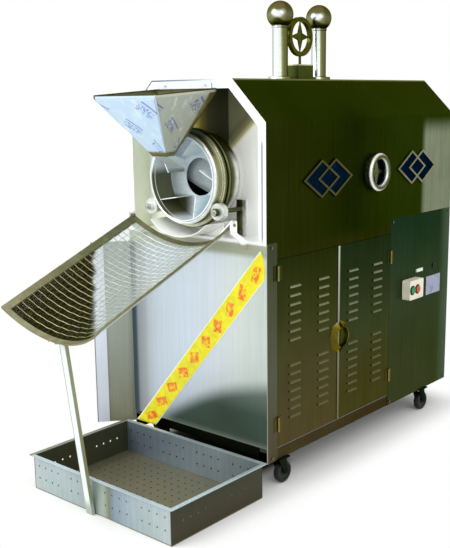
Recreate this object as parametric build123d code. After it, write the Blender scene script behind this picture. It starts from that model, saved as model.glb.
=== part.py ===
from build123d import *

import os
from math import asin, atan2, cos, hypot, pi, radians, sin, sqrt, tan

# Drum roaster for nuts: a sheet-metal cabinet on casters with a turning drum, hopper, mesh chute and tray.
# Millimetres, +Z up, front towards -Y, doors on +X. Pieces are laid out from the middle of the cabinet's
# front at floor level, and at the end moved so that the origin is the bottom centre of the whole machine.

# Cabinet
body_width = 626.0
body_depth = 1223.0
shell_above_axis = 319.0
underside = 100.0
corner_cut = 135.0
sheet = 2.0
seam_below_axis = 196.0
sill = 40.0
tube_wall = 3.0
post_leg = 30.0
toe_height = 53.0
toe_setback = 40.0

# Front rim and the recess behind it
rim_band = 30.0
rim_drop = 23.0
rim_bottom_band = 28.0
recess_depth = 80.0

# Drum and what carries it
drum_axis_height = 1031.0
mouth_radius = 136.0
neck_wall = 4.0
drum_wall = 3.0
track_radius = 152.0
tyre_radius = 165.0
tyre_groove = 7.0
tyre_edge = 4.0
tyre_front = -50.0
roller_track = 32.0
tyre_rib = 11.0
tyre_rib_gap = 8.0
tyre_rib_count = 2
plate_hole_gap = 8.0
neck_back = 95.0
cone_length = 80.0
barrel_radius = 230.0
barrel_inset = 183.0
vane_depth = 95.0
vane_count = 5
vane_end_gap = 12.0
flight_count = 5
flight_front = -38.0
flight_length = 76.0
flight_skew = 25.0
flight_turn = 20.0
baffle_front = 40.0
baffle_hole = 64.0
shaft_radius = 20.0
running_fit = 0.08
rolling_gap = 0.3
roller_radius = 28.0
roller_width = 26.0
roller_across = 150.0
axle_radius = 8.0
axle_collar_radius = 13.0
axle_collar = 11.0
bracket_width = 40.0
bracket_height = 118.0
bracket_thickness = 6.0
lip_spread = 42.0
lip_front = -75.0
lip_gap = 0.5

# Drive
pulley_radius = 120.0
motor_pulley_radius = 45.0
pulley_flange = 8.0
pulley_rim = 6.0
belt_width = 14.0
belt_thickness = 8.0
belt_side_gap = 0.6
belt_inset = 73.0
bearing_inset = 125.0
bearing_width = 36.0
bearing_reach = 48.0
beam = 40.0
motor_below_burner = 130.0
motor_radius = 65.0
motor_length = 160.0
gearbox_width = 150.0
gearbox_length = 60.0
gearbox_inset = 161.0
motor_shaft_radius = 12.0
motor_foot = 30.0
shelf_thickness = 4.0
shelf_margin = 20.0

# Heat
liner_gap = 29.0
liner_wall = 3.0
liner_front_gap = 12.0
liner_back_gap = 25.0
liner_foot_rise = 7.0
flue_length = 76.0
flue_width = 40.0
burner_radius = 16.0
burner_wall = 2.0
burner_spacing = 110.0
burner_count = 3
burner_below_axis = 341.0
burner_front = 180.0
manifold_inset = 207.0
manifold_radius = 19.0
burner_slot_length = 50.0
burner_slot_width = 4.0
burner_slot_count = 8
gas_inlet_across = -200.0
gas_inlet_radius = 8.0
gas_inlet_reach = 10.0
hose_tail_radius = 6.5
hose_tail = 24.0
manifold_end = 12.0
stand_leg = 25.0

# Right side: corner stile, two doors and the control section
stile_width = 57.0
door_width = 349.0
shell_drop = 55.0
door_gap = 1.5
door_fold = 12.0
meeting_strip = 13.0
meeting_offset = 10.0
louvre_length = 60.0
louvre_slot = 8.0
louvre_pitch = 30.0
louvre_rows = 7
louvre_hood = 6.0
louvre_sheet = 1.5
louvre_columns = (93.0, 257.0)
louvre_group_drops = (95.0, 362.0)
pull_radius = 60.0
pull_top_radius = 42.0
pull_height = 14.0
pull_centre = 451.0
hinge_height = 50.0
hinge_leaf = 20.0
hinge_leaf_thickness = 1.5
knuckle_radius = 4.0
knuckle_gap = 0.3
hinge_pin_radius = 1.5
hinge_low = 225.0
front_hinge_drop = 45.0
rear_hinge_drop = 90.0

# Left service door
service_hinge = 34.0
service_width = 165.0
service_bottom = 102.0
service_head = 50.0
service_strip = 46.0
service_frame = 25.0
service_sill = 48.0
service_hinge_low = 240.0
service_hinge_drop = 85.0
service_opening_angle = 138.0

# Control section
switch_back = 321.0
switch_height = 545.0
switch_width = 105.0
switch_tall = 76.0
switch_depth = 34.0
switch_round = 6.0
button_radius = 14.0
button_proud = 6.0
button_travel = 4.0
button_length = 26.0
button_spacing = 38.0
button_shift = 13.0
button_gap = 0.2
blank_plate_width = 115.0
blank_plate_height = 76.0
blank_plate_back = 130.0
blank_plate_middle = 531.0
small_part_height = 607.0
lamp_back = 247.0
lamp_width = 46.0
lamp_tall = 13.0
lamp_depth = 6.0
lamp_round = 2.0
grommet_back = 125.0
grommet_radius = 11.0
grommet_neck = 8.0
grommet_flange = 4.0
grommet_bore = 5.0

# Side emblems
emblem_below_axis = 11.0
emblem_thickness = 6.0
emblem_band = 8.0
emblem_insert = 3.0
lozenge_half_width = 105.0
lozenge_half_height = 65.0
lozenge_offset = 40.0
lozenge_places = (336.0, 932.0)
ring_place = 632.0
ring_radius = 70.0
ring_tube = 12.0
ring_wall = 8.0
ring_depth = 30.0
star_waist = 13.0
star_thickness = 4.0

# Crest on the roof
crest_middle = 600.0
crest_spacing = 240.0
crest_post_radius = 28.5
crest_ball_radius = 48.5
crest_ball_height = 232.0
crest_foot_radius = 45.0
crest_foot = 14.0
vent_margin = 8.0
vent_box_height = 58.0
finial_radius = 71.0
finial_band = 15.0
finial_depth = 16.0
finial_centre = 159.0
finial_stem_radius = 5.0

# Hopper
hopper_across = -20.0
hopper_rim = 276.0
hopper_rim_above_axis = 279.0
hopper_rim_band = 10.0
hopper_back_gap = 3.0
hopper_tilt = 3.7
hopper_outlet = 64.0
hopper_outlet_depth = 32.0
hopper_outlet_middle = -126.0
hopper_outlet_above_axis = 86.0
spout_end = -62.0
spout_drop = 49.0
spout_end_height = 32.0
hanger_height = 30.0
hanger_width = 230.0
peg_rise = 22.5
peg_spacing = 180.0
peg_radius = 4.0
peg_length = 12.0
peg_fit = 0.2

# Mesh chute
chute_pivot_front = -63.0
chute_pivot_below_axis = 133.0
chute_slope = 21.8
chute_length = 608.0
chute_half_width = 225.0
chute_sag = 88.0
chute_bar = 18.0
chute_bar_thickness = 5.0
mesh_thickness = 2.0
mesh_columns = 12
mesh_rows = 24
mesh_wire = 4.0
mesh_bands = 6
mesh_slit = 0.4
trunnion_radius = 5.0
trunnion_reach = 14.0
trunnion_gap = 0.3
hook_thickness = 8.0
hook_gap = 4.0
hook_width = 26.0
hook_rise = 12.0
leg_across = -28.0
leg_width = 28.0
leg_thickness = 12.0
leg_top = -545.0
leg_foot = -470.0
socket_height = 34.0
socket_wall = 4.0

# Tray
tray_width = 667.0
tray_depth = 446.0
tray_height = 120.0
tray_back = -26.0
tray_wall = 2.0
tray_lip = 11.0
tray_hole = 3.5
tray_hole_pitch = 33.0
tray_group_count = 4
tray_long_group_count = 4
tray_long_margin = 26.0
tray_long_rows = (43.0, 85.0)
tray_short_group_count = 2
tray_short_margin = 52.0
tray_short_rows = (64.0,)
tray_floor_pitch = 33.0
tray_floor_margin = 36.0

# Casters
wheel_radius = 37.5
wheel_width = 26.0
caster_axle = 5.0
caster_trail = 25.0
caster_plate = 4.0
caster_plate_side = 60.0
caster_head_radius = 26.0
caster_head = 4.0
caster_cheek = 3.0
caster_cheek_gap = 2.0
caster_pin = 6.0
caster_front = 86.0
caster_back = 190.0

# Screws
screw_radius = 4.5
screw_head = 3.0
screw_inset = 14.0

# Lines that several pieces share
half = body_width / 2
inside = half - sheet
sill_top = underside + sill
body_top = drum_axis_height + shell_above_axis
seam_height = drum_axis_height - seam_below_axis
rim_bottom = seam_height - rim_drop
ledge = rim_bottom + rim_bottom_band
burner_height = drum_axis_height - burner_below_axis
motor_axis_height = burner_height - motor_below_burner
emblem_height = drum_axis_height - emblem_below_axis
hopper_rim_height = drum_axis_height + hopper_rim_above_axis
hopper_outlet_height = drum_axis_height + hopper_outlet_above_axis
chute_pivot_height = drum_axis_height - chute_pivot_below_axis
back_inside = body_depth - sheet
barrel_back = body_depth - barrel_inset
belt_middle = body_depth - belt_inset
bearing_middle = body_depth - bearing_inset
gearbox_front = body_depth - gearbox_inset
manifold_middle = body_depth - manifold_inset
door_head = seam_height - shell_drop
service_top = seam_height - service_head
liner_foot_height = seam_height + liner_foot_rise
doors_start = stile_width
doors_middle = doors_start + door_width + meeting_offset
doors_end = doors_start + 2 * door_width
neck_radius = mouth_radius + neck_wall
barrel_front = neck_back + cone_length
liner_inner = barrel_radius + liner_gap
liner_outer = liner_inner + liner_wall
hinge_line = half + knuckle_radius
roller_drop = sqrt((track_radius + roller_radius + rolling_gap) ** 2 - roller_across**2)
roller_height = drum_axis_height - roller_drop
roller_front = tyre_front + (roller_track - roller_width) / 2
roller_back = roller_front + roller_width
tray_front = tray_back - tray_depth
caster_across = inside - sill / 2
caster_rows = (caster_front, body_depth - caster_back)
caster_places = [(side * caster_across, y) for y in caster_rows for side in (-1, 1)]
caster_names = ("front_left", "front_right", "rear_left", "rear_right")


def block(low, high):
    """A block between two opposite corners."""
    size = [b - a for a, b in zip(low, high)]
    middle = [(a + b) / 2 for a, b in zip(low, high)]
    return Pos(*middle) * Box(*size)


def rod(start, end, radius):
    """A round bar from one point to another."""
    way = Vector(*end) - Vector(*start)
    return extrude(Plane(origin=start, z_dir=way) * Circle(radius), amount=way.length)


def across(points, x0, x1):
    """An outline of (y, z) points, carried along X."""
    face = make_face(Polyline(*[(x0, y, z) for y, z in points], close=True))
    return extrude(face, amount=x1 - x0, dir=(1, 0, 0))


def backwards(points, y0, y1):
    """An outline of (x, z) points, carried along Y."""
    face = make_face(Polyline(*[(x, y0, z) for x, z in points], close=True))
    return extrude(face, amount=y1 - y0, dir=(0, 1, 0))


def upwards(points, z0, z1):
    """An outline of (x, y) points, carried along Z."""
    face = make_face(Polyline(*[(x, y, z0) for x, y in points], close=True))
    return extrude(face, amount=z1 - z0, dir=(0, 0, 1))


def front_sketch(sketch, y0, y1):
    """A sketch seen from the front, x to the right and y up, carried from y0 back to y1."""
    return extrude(Plane.XZ.offset(-y1) * sketch, amount=y1 - y0)


def side_sketch(sketch, x0, x1):
    """A sketch seen from the right, x to the back and y up, carried from x0 to x1."""
    return extrude(Plane.YZ.offset(x0) * sketch, amount=x1 - x0)


def turned(points, height):
    """An outline of (radius, y) points, turned about the line along Y at a height."""
    face = make_face(Polyline(*[(r, y, 0) for r, y in points], close=True))
    return Pos(0, 0, height) * revolve(face, Axis.Y)


def group(*pieces):
    """Separate solids that share a node."""
    return Compound([solid for piece in pieces for solid in piece.solids()])


def octagon(inset, bottom):
    """The cabinet's front outline drawn in by an inset: cut corners at the top, square at the bottom."""
    side = half - inset
    top = body_top - inset
    cut = corner_cut - inset * (2 - sqrt(2))
    return [
        (side, bottom),
        (side, top - cut),
        (side - cut, top),
        (cut - side, top),
        (-side, top - cut),
        (-side, bottom),
    ]


def tube(low, high, axis):
    """A square tube between two corners, open along one axis."""
    core_low = [v - 1 if i == axis else v + tube_wall for i, v in enumerate(low)]
    core_high = [v + 1 if i == axis else v - tube_wall for i, v in enumerate(high)]
    return block(low, high) - block(core_low, core_high)


def diamond(half_width, half_height):
    """A lozenge standing on its point."""
    return Polygon((half_width, 0), (0, half_height), (-half_width, 0), (0, -half_height), align=None)


def star(reach, waist):
    """A star of four points, with its points up, down and to the sides."""
    corners = []
    for i in range(8):
        radius = reach if i % 2 == 0 else waist
        corners.append((radius * cos(i * pi / 4), radius * sin(i * pi / 4)))
    return Polygon(*corners, align=None)


nodes = {}

# Base: two long sills, two cross sills, corner angles and the floor sheet
long_sills = []
for side in (-1, 1):
    edges = sorted((side * inside, side * (inside - sill)))
    long_sills.append(tube((edges[0], sheet, underside), (edges[1], back_inside, sill_top), 1))
cross_sills = []
for start in (toe_setback, back_inside - sill):
    cross_sills.append(tube((sill - inside, start, underside), (inside - sill, start + sill, sill_top), 0))
nodes["base_sills"] = group(*long_sills, *cross_sills)

posts = []
for side in (-1, 1):
    for corner, inwards in ((sheet, 1), (back_inside, -1)):
        outline = [
            (side * inside, corner),
            (side * (inside - post_leg), corner),
            (side * (inside - post_leg), corner + inwards * tube_wall),
            (side * (inside - tube_wall), corner + inwards * tube_wall),
            (side * (inside - tube_wall), corner + inwards * post_leg),
            (side * inside, corner + inwards * post_leg),
        ]
        posts.append(upwards(outline, sill_top, rim_bottom))
nodes["corner_posts"] = group(*posts)

floor_start = max(toe_setback, sheet + post_leg)
floor_end = back_inside - post_leg
nodes["floor_sheet"] = block((-inside, floor_start, sill_top), (inside, floor_end, sill_top + sheet))

# Lower panels
nodes["lower_front_panel"] = block((-half, 0, underside + toe_height), (half, sheet, rim_bottom))
service_opening = block(
    (-half - 1, service_hinge, service_bottom + service_sill),
    (1 - inside, service_hinge + service_width - service_frame, service_top - service_frame),
)
lower_left_panel = block((-half, sheet, underside), (-inside, back_inside, seam_height))
nodes["lower_left_panel"] = lower_left_panel - service_opening
gas_hole = rod((gas_inlet_across, back_inside - 1, burner_height), (gas_inlet_across, body_depth + 1, burner_height),
               gas_inlet_radius + running_fit)
nodes["lower_rear_panel"] = block((-half, back_inside, underside), (half, body_depth, seam_height)) - gas_hole
nodes["right_front_stile"] = block((inside, sheet, underside), (half, stile_width, seam_height))
grommet_place = body_depth - grommet_back
control_panel = block((inside, doors_end, underside), (half, back_inside, seam_height))
control_panel -= rod((inside - 1, grommet_place, small_part_height), (half + 1, grommet_place, small_part_height),
                     grommet_neck)
nodes["control_panel"] = control_panel

# Upper shell: one folded sheet whose right side reaches down to the heads of the doors
shell_outside = octagon(0, seam_height)
shell_inside = octagon(sheet, seam_height)
shell_outside[0] = (half, door_head)
shell_inside[0] = (inside, door_head)
upper_shell = backwards(shell_outside + shell_inside[::-1], sheet, back_inside)
upper_shell -= block((inside - 1, 0, door_head - 1), (half + 1, doors_start, seam_height))
upper_shell -= block((inside - 1, doors_end, door_head - 1), (half + 1, body_depth, seam_height))
flue_hole = block(
    (-flue_width / 2, crest_middle - flue_length / 2, drum_axis_height),
    (flue_width / 2, crest_middle + flue_length / 2, body_top + 1),
)
upper_shell -= flue_hole
nodes["upper_shell"] = upper_shell
nodes["upper_rear_panel"] = backwards(octagon(0, seam_height), back_inside, body_depth)

# Front rim: a flange round the upper front, walls back to the recessed plate, pegs and chute hooks
rim_opening = octagon(rim_band, ledge)
front_rim = backwards(octagon(0, rim_bottom), 0, sheet)
front_rim += backwards(octagon(rim_band - sheet, ledge - sheet), 0, recess_depth)
front_rim -= backwards(rim_opening, -1, recess_depth + 1)
peg_height = hopper_rim_height + peg_rise
for side in (-1, 1):
    peg_across = hopper_across + side * peg_spacing / 2
    front_rim += rod((peg_across, -peg_length, peg_height), (peg_across, sheet, peg_height), peg_radius)
hook_front = chute_pivot_front - hook_width / 2
hook_back = chute_pivot_front + hook_width / 2
hook_top = chute_pivot_height + hook_rise
notch_radius = trunnion_radius + trunnion_gap
hook_outline = [
    (0, rim_bottom),
    (0, ledge),
    (hook_back, chute_pivot_height - hook_width),
    (hook_back, hook_top),
    (hook_front, hook_top),
    (hook_front, chute_pivot_height - hook_width),
]
for side in (-1, 1):
    hook_inner = chute_half_width + hook_gap
    hook_edges = sorted((side * hook_inner, side * (hook_inner + hook_thickness)))
    hook = across(hook_outline, *hook_edges)
    hook -= rod((hook_edges[0] - 1, chute_pivot_front, chute_pivot_height),
                (hook_edges[1] + 1, chute_pivot_front, chute_pivot_height), notch_radius)
    hook -= block((hook_edges[0] - 1, chute_pivot_front - notch_radius, chute_pivot_height),
                  (hook_edges[1] + 1, chute_pivot_front + notch_radius, hook_top + 1))
    front_rim += hook
nodes["front_rim"] = front_rim

plate_hole = rod((0, 0, drum_axis_height), (0, recess_depth + 2 * sheet, drum_axis_height),
                 neck_radius + plate_hole_gap)
recessed_plate = backwards(octagon(rim_band - sheet, ledge - sheet), recess_depth, recess_depth + sheet)
nodes["recessed_front_plate"] = recessed_plate - plate_hole

# Discharge lip: a curved sheet under the mouth
lip_outer = drum_axis_height - ledge - lip_gap
lip_reach = 2 * lip_outer
lip_side = lip_reach * tan(radians(lip_spread))
lip_wedge = Polygon((0, 0), (-lip_side, -lip_reach), (lip_side, -lip_reach), align=None)
lip_ring = Circle(lip_outer) - Circle(lip_outer - sheet)
lip_sheet = front_sketch(lip_ring & lip_wedge, lip_front, recess_depth)
nodes["discharge_lip"] = Pos(0, 0, drum_axis_height) * lip_sheet

# Roller brackets: a flat bar on the recessed plate, with the axle and its two collars
brackets = []
for side in (-1, 1):
    axle = (side * roller_across, roller_height)
    bar_bottom = ledge + sheet
    bracket = block(
        (axle[0] - bracket_width / 2, recess_depth - bracket_thickness, bar_bottom),
        (axle[0] + bracket_width / 2, recess_depth, bar_bottom + bracket_height),
    )
    axle_end = roller_front - rolling_gap - axle_collar
    bracket += rod((axle[0], axle_end, axle[1]), (axle[0], recess_depth, axle[1]), axle_radius)
    for start in (axle_end, roller_back + rolling_gap):
        bracket += rod((axle[0], start, axle[1]), (axle[0], start + axle_collar, axle[1]), axle_collar_radius)
    brackets.append(bracket)
    roller = rod((axle[0], roller_front, axle[1]), (axle[0], roller_back, axle[1]), roller_radius)
    roller = chamfer(roller.edges(), sheet)
    roller -= rod((axle[0], roller_front - 1, axle[1]), (axle[0], roller_back + 1, axle[1]),
                  axle_radius + running_fit)
    nodes["left_roller" if side < 0 else "right_roller"] = roller
nodes["roller_brackets"] = group(*brackets)

# Drum: shell, ridged tyre on the neck, lifting vanes, and the rear disc with its shaft and pulley
cone_slope = atan2(barrel_radius - neck_radius, cone_length)
cone_shift = drum_wall * tan(cone_slope / 2)
nodes["drum_shell"] = turned(
    [
        (neck_radius, tyre_front),
        (neck_radius, neck_back),
        (barrel_radius, barrel_front),
        (barrel_radius, barrel_back),
        (barrel_radius - drum_wall, barrel_back),
        (barrel_radius - drum_wall, barrel_front + cone_shift),
        (mouth_radius, neck_back + cone_shift),
        (mouth_radius, tyre_front),
    ],
    drum_axis_height,
)
tyre_outline = [
    (neck_radius, tyre_front),
    (track_radius - tyre_edge, tyre_front),
    (track_radius, tyre_front + tyre_edge),
]
rib_start = tyre_front + roller_track
tyre_outline.append((track_radius, rib_start))
for i in range(tyre_rib_count):
    tyre_outline += [
        (tyre_radius, rib_start + tyre_edge / 2),
        (tyre_radius, rib_start + tyre_rib - tyre_edge / 2),
        (tyre_radius - tyre_groove, rib_start + tyre_rib),
        (tyre_radius - tyre_groove, rib_start + tyre_rib + tyre_rib_gap),
    ]
    rib_start += tyre_rib_gap + tyre_rib
tyre_outline.append((neck_radius, rib_start))
nodes["drum_tyre"] = turned(tyre_outline, drum_axis_height)

vane_outer = sqrt((barrel_radius - drum_wall) ** 2 - (drum_wall / 2) ** 2)
disc_front = barrel_back - 2 * drum_wall
vanes = []
for i in range(vane_count):
    vane = block(
        (-drum_wall / 2, barrel_front + vane_end_gap, vane_outer - vane_depth),
        (drum_wall / 2, disc_front, vane_outer),
    )
    vanes.append(Pos(0, 0, drum_axis_height) * Rot(0, i * 360 / vane_count, 0) * vane)
neck_bore = rod((0, flight_front, 0), (0, baffle_front, 0), mouth_radius)
for i in range(flight_count):
    flight = block((-drum_wall / 2, flight_front, -flight_length), (drum_wall / 2, baffle_front, mouth_radius))
    flight = Pos(0, 0, mouth_radius) * Rot(0, flight_skew, 0) * flight
    flight = Rot(0, flight_turn + i * 360 / flight_count, 0) * flight & neck_bore
    vanes.append(Pos(0, 0, drum_axis_height) * flight)
baffle_back = baffle_front + drum_wall
vanes.append(turned(
    [
        (baffle_hole, baffle_front),
        (mouth_radius, baffle_front),
        (mouth_radius, baffle_back),
        (baffle_hole, baffle_back),
    ],
    drum_axis_height,
))
nodes["drum_vanes"] = group(*vanes)

pulley_half = belt_width / 2 + belt_side_gap + pulley_rim
groove_half = belt_width / 2 + belt_side_gap


def pulley(radius, bore, height):
    """A flanged belt pulley whose groove bottom has a radius, on a shaft line along Y at a height."""
    return turned(
        [
            (bore, belt_middle - pulley_half),
            (radius + pulley_flange, belt_middle - pulley_half),
            (radius + pulley_flange, belt_middle - groove_half),
            (radius, belt_middle - groove_half),
            (radius, belt_middle + groove_half),
            (radius + pulley_flange, belt_middle + groove_half),
            (radius + pulley_flange, belt_middle + pulley_half),
            (bore, belt_middle + pulley_half),
        ],
        height,
    )


drum_axis = (0, disc_front, drum_axis_height)
shaft_end = (0, belt_middle + pulley_half + sheet, drum_axis_height)
rear_shaft = rod(drum_axis, (0, barrel_back, drum_axis_height), barrel_radius - drum_wall)
rear_shaft += rod(drum_axis, shaft_end, shaft_radius)
rear_shaft += pulley(pulley_radius, shaft_radius - 1, drum_axis_height)
nodes["drum_rear_shaft"] = rear_shaft

# Rear bearing on its cross beam, gear motor on its shelf, and the belt
bearing_front = bearing_middle - bearing_width / 2
bearing_back = bearing_middle + bearing_width / 2
bearing = block(
    (-bearing_reach, bearing_front, drum_axis_height - bearing_reach),
    (bearing_reach, bearing_back, drum_axis_height + bearing_reach),
)
bearing = chamfer(bearing.edges().filter_by(Axis.Y).group_by(Axis.Z)[-1], bearing_reach / 2)
bearing -= rod((0, bearing_front - 1, drum_axis_height), (0, bearing_back + 1, drum_axis_height),
               shaft_radius + running_fit)
nodes["rear_bearing"] = bearing
beam_top = drum_axis_height - bearing_reach
bearing_beam = tube((-inside, bearing_middle - beam / 2, beam_top - beam),
                    (inside, bearing_middle + beam / 2, beam_top), 0)
shelf_top = motor_axis_height - motor_radius - motor_foot
motor_front = gearbox_front - motor_length
gearbox_back = gearbox_front + gearbox_length
motor_shelf = block((-inside, motor_front - shelf_margin, shelf_top - shelf_thickness),
                    (inside, back_inside - post_leg, shelf_top))
nodes["rear_cross_members"] = group(bearing_beam, motor_shelf)

gear_motor = rod((0, motor_front, motor_axis_height), (0, gearbox_front, motor_axis_height), motor_radius)
gear_motor += block((-gearbox_width / 2, gearbox_front, shelf_top),
                    (gearbox_width / 2, gearbox_back, motor_axis_height + gearbox_width / 2))
gear_motor += block((-motor_radius, motor_front + motor_foot, shelf_top),
                    (motor_radius, motor_front + 2 * motor_foot, motor_axis_height))
gear_motor -= rod((0, gearbox_front + motor_foot / 2, motor_axis_height),
                  (0, gearbox_back + 1, motor_axis_height), motor_shaft_radius + running_fit)
nodes["gear_motor"] = gear_motor
motor_pulley = pulley(motor_pulley_radius, motor_shaft_radius - 1, motor_axis_height)
motor_pulley += rod((0, gearbox_front + motor_foot / 2 + 1, motor_axis_height),
                    (0, belt_middle + pulley_half, motor_axis_height), motor_shaft_radius)
nodes["motor_pulley"] = motor_pulley


def belt_outline(extra):
    """The outline round both pulleys, larger than their grooves by an extra width."""
    upper = pulley_radius + rolling_gap + extra
    lower = motor_pulley_radius + rolling_gap + extra
    distance = drum_axis_height - motor_axis_height
    lean = asin((upper - lower) / distance)
    between = Polygon(
        (upper * cos(lean), drum_axis_height + upper * sin(-lean)),
        (-upper * cos(lean), drum_axis_height + upper * sin(-lean)),
        (-lower * cos(lean), motor_axis_height + lower * sin(-lean)),
        (lower * cos(lean), motor_axis_height + lower * sin(-lean)),
        align=None,
    )
    return Pos(0, drum_axis_height) * Circle(upper) + Pos(0, motor_axis_height) * Circle(lower) + between


belt_front = belt_middle - belt_width / 2
belt = front_sketch(belt_outline(belt_thickness), belt_front, belt_front + belt_width)
nodes["drive_belt"] = belt - front_sketch(belt_outline(0), belt_front - 1, belt_front + belt_width + 1)

# Tunnel liner over the drum, standing on two feet that reach the shell's sides
liner_front = recess_depth + sheet + liner_front_gap
liner_back = barrel_back + liner_back_gap
leg_span = drum_axis_height - liner_foot_height
liner_sketch = Circle(liner_outer) - Circle(liner_inner)
liner_sketch -= Pos(0, -liner_outer) * Rectangle(2 * liner_outer, 2 * liner_outer)
for side in (-1, 1):
    leg_middle = side * (liner_inner + liner_wall / 2)
    foot_middle = side * (liner_inner + inside) / 2
    liner_sketch += Pos(leg_middle, -leg_span / 2) * Rectangle(liner_wall, leg_span)
    liner_sketch += Pos(foot_middle, liner_wall / 2 - leg_span) * Rectangle(inside - liner_inner, liner_wall)
tunnel_liner = Pos(0, 0, drum_axis_height) * front_sketch(liner_sketch, liner_front, liner_back)
nodes["tunnel_liner"] = tunnel_liner - flue_hole

# Gas burner: tubes with flame slots on one manifold, with the inlet through the rear panel, on a stand
burner_lines = [(i - (burner_count - 1) / 2) * burner_spacing for i in range(burner_count)]
manifold_left = gas_inlet_across - burner_radius - manifold_end
manifold_right = burner_lines[-1] + burner_radius + manifold_end
inlet_end = body_depth + gas_inlet_reach
tail_end = inlet_end + hose_tail


def burner_tubes(wall):
    """The burner's tubes and manifold as round bars, with a wall taken off all round and at each closed end."""
    tubes = rod((manifold_left + wall, manifold_middle, burner_height),
                (manifold_right - wall, manifold_middle, burner_height), manifold_radius - wall)
    for x in burner_lines:
        tubes += rod((x, burner_front + wall, burner_height), (x, manifold_middle, burner_height),
                     burner_radius - wall)
    return tubes


gas_burner = burner_tubes(0)
gas_burner += rod((gas_inlet_across, manifold_middle, burner_height), (gas_inlet_across, inlet_end, burner_height),
                  gas_inlet_radius)
gas_burner += rod((gas_inlet_across, manifold_middle, burner_height), (gas_inlet_across, tail_end, burner_height),
                  hose_tail_radius)
gas_burner -= burner_tubes(burner_wall)
gas_burner -= rod((gas_inlet_across, manifold_middle, burner_height), (gas_inlet_across, tail_end + 1, burner_height),
                  hose_tail_radius - burner_wall)
slot_pitch = (manifold_middle - burner_front) / (burner_slot_count + 1)
for x in burner_lines:
    for i in range(burner_slot_count):
        slot_middle = burner_front + (i + 1) * slot_pitch
        gas_burner -= block(
            (x - burner_slot_width / 2, slot_middle - burner_slot_length / 2, burner_height),
            (x + burner_slot_width / 2, slot_middle + burner_slot_length / 2, burner_height + 2 * burner_radius),
        )
nodes["gas_burner"] = gas_burner
stand_top = burner_height - burner_radius
stand_pieces = []
for y in (burner_front + slot_pitch / 2, motor_front - 2 * shelf_margin - stand_leg):
    stand_pieces.append(block((burner_lines[0] - stand_leg, y - stand_leg / 2, stand_top - stand_leg),
                              (burner_lines[-1] + stand_leg, y + stand_leg / 2, stand_top)))
    for x in (burner_lines[0], burner_lines[-1]):
        stand_pieces.append(block((x - stand_leg / 2, y - stand_leg / 2, sill_top + sheet),
                                  (x + stand_leg / 2, y + stand_leg / 2, stand_top - stand_leg)))
nodes["burner_stand"] = group(*stand_pieces)

# Hinges: a leaf with two knuckles and the pin on one side, a leaf with the middle knuckle on the other
knuckle_third = hinge_height / 3
leaf_start = knuckle_radius + knuckle_gap


def hinge_leaf_plate(way, z0, z1, start):
    """A leaf lying on the panel face, on the -Y or +Y side of the hinge line."""
    edges = sorted((way * start, way * hinge_leaf))
    return block((-knuckle_radius, edges[0], z0), (hinge_leaf_thickness - knuckle_radius, edges[1], z1))


def fixed_leaf():
    """The leaf on the cabinet: two end knuckles with the pin through them."""
    low = -hinge_height / 2
    leaf = hinge_leaf_plate(-1, low, -low, leaf_start)
    for z in (low, -low - knuckle_third + knuckle_gap):
        leaf += hinge_leaf_plate(-1, z, z + knuckle_third - knuckle_gap, 0)
        leaf += rod((0, 0, z), (0, 0, z + knuckle_third - knuckle_gap), knuckle_radius)
    return leaf + rod((0, 0, low), (0, 0, -low), hinge_pin_radius)


def door_leaf():
    """The leaf on the door: the middle knuckle, bored for the pin."""
    low = -hinge_height / 2
    leaf = hinge_leaf_plate(1, low, -low, leaf_start)
    leaf += hinge_leaf_plate(1, -knuckle_third / 2, knuckle_third / 2, 0)
    leaf += rod((0, 0, -knuckle_third / 2), (0, 0, knuckle_third / 2), knuckle_radius)
    return leaf - rod((0, 0, low), (0, 0, -low), hinge_pin_radius + running_fit)


front_hinge_line = doors_start + door_gap / 2
rear_hinge_line = doors_end - door_gap / 2
service_hinge_line = service_hinge + door_gap / 2
front_hinges = [Pos(hinge_line, front_hinge_line, z) for z in (hinge_low, door_head - front_hinge_drop)]
rear_hinges = [Pos(hinge_line, rear_hinge_line, z) for z in (hinge_low, door_head - rear_hinge_drop)]
service_hinges = [
    Pos(-hinge_line, service_hinge_line, z) for z in (service_hinge_low, service_top - service_hinge_drop)
]
turned_back = mirror(fixed_leaf(), about=Plane.XZ)
turned_left = mirror(fixed_leaf(), about=Plane.YZ)
nodes["fixed_hinge_leaves"] = group(
    *[place * fixed_leaf() for place in front_hinges],
    *[place * turned_back for place in rear_hinges],
    *[place * turned_left for place in service_hinges],
)


def pan(outer, low, high):
    """A sheet door facing +X between two corners (y, z), folded inwards all round; its face is at outer."""
    door = block((outer - sheet - door_fold, *low), (outer, *high))
    return door - block((outer - sheet - door_fold - 1, low[0] + sheet, low[1] + sheet),
                        (outer - sheet, high[0] - sheet, high[1] - sheet))


def louvres(door, columns):
    """Cut the slots of every louvre into a door and set a sloping hood over each."""
    slots = []
    hoods = []
    hood_drop = louvre_slot + louvre_sheet
    for y in columns:
        for drop in louvre_group_drops:
            for i in range(louvre_rows):
                z = door_head - drop - i * louvre_pitch
                slots.append(block((inside - 1, y - louvre_length / 2, z - louvre_slot),
                                   (half + 1, y + louvre_length / 2, z)))
                outline = [
                    (half, z + louvre_sheet),
                    (half + louvre_hood, z - hood_drop),
                    (half + louvre_hood - louvre_sheet, z - hood_drop),
                    (half, z),
                    (inside, z),
                    (inside, z + louvre_sheet),
                ]
                hoods.append(backwards(outline, y - louvre_length / 2, y + louvre_length / 2))
    return door - slots + hoods


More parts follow.
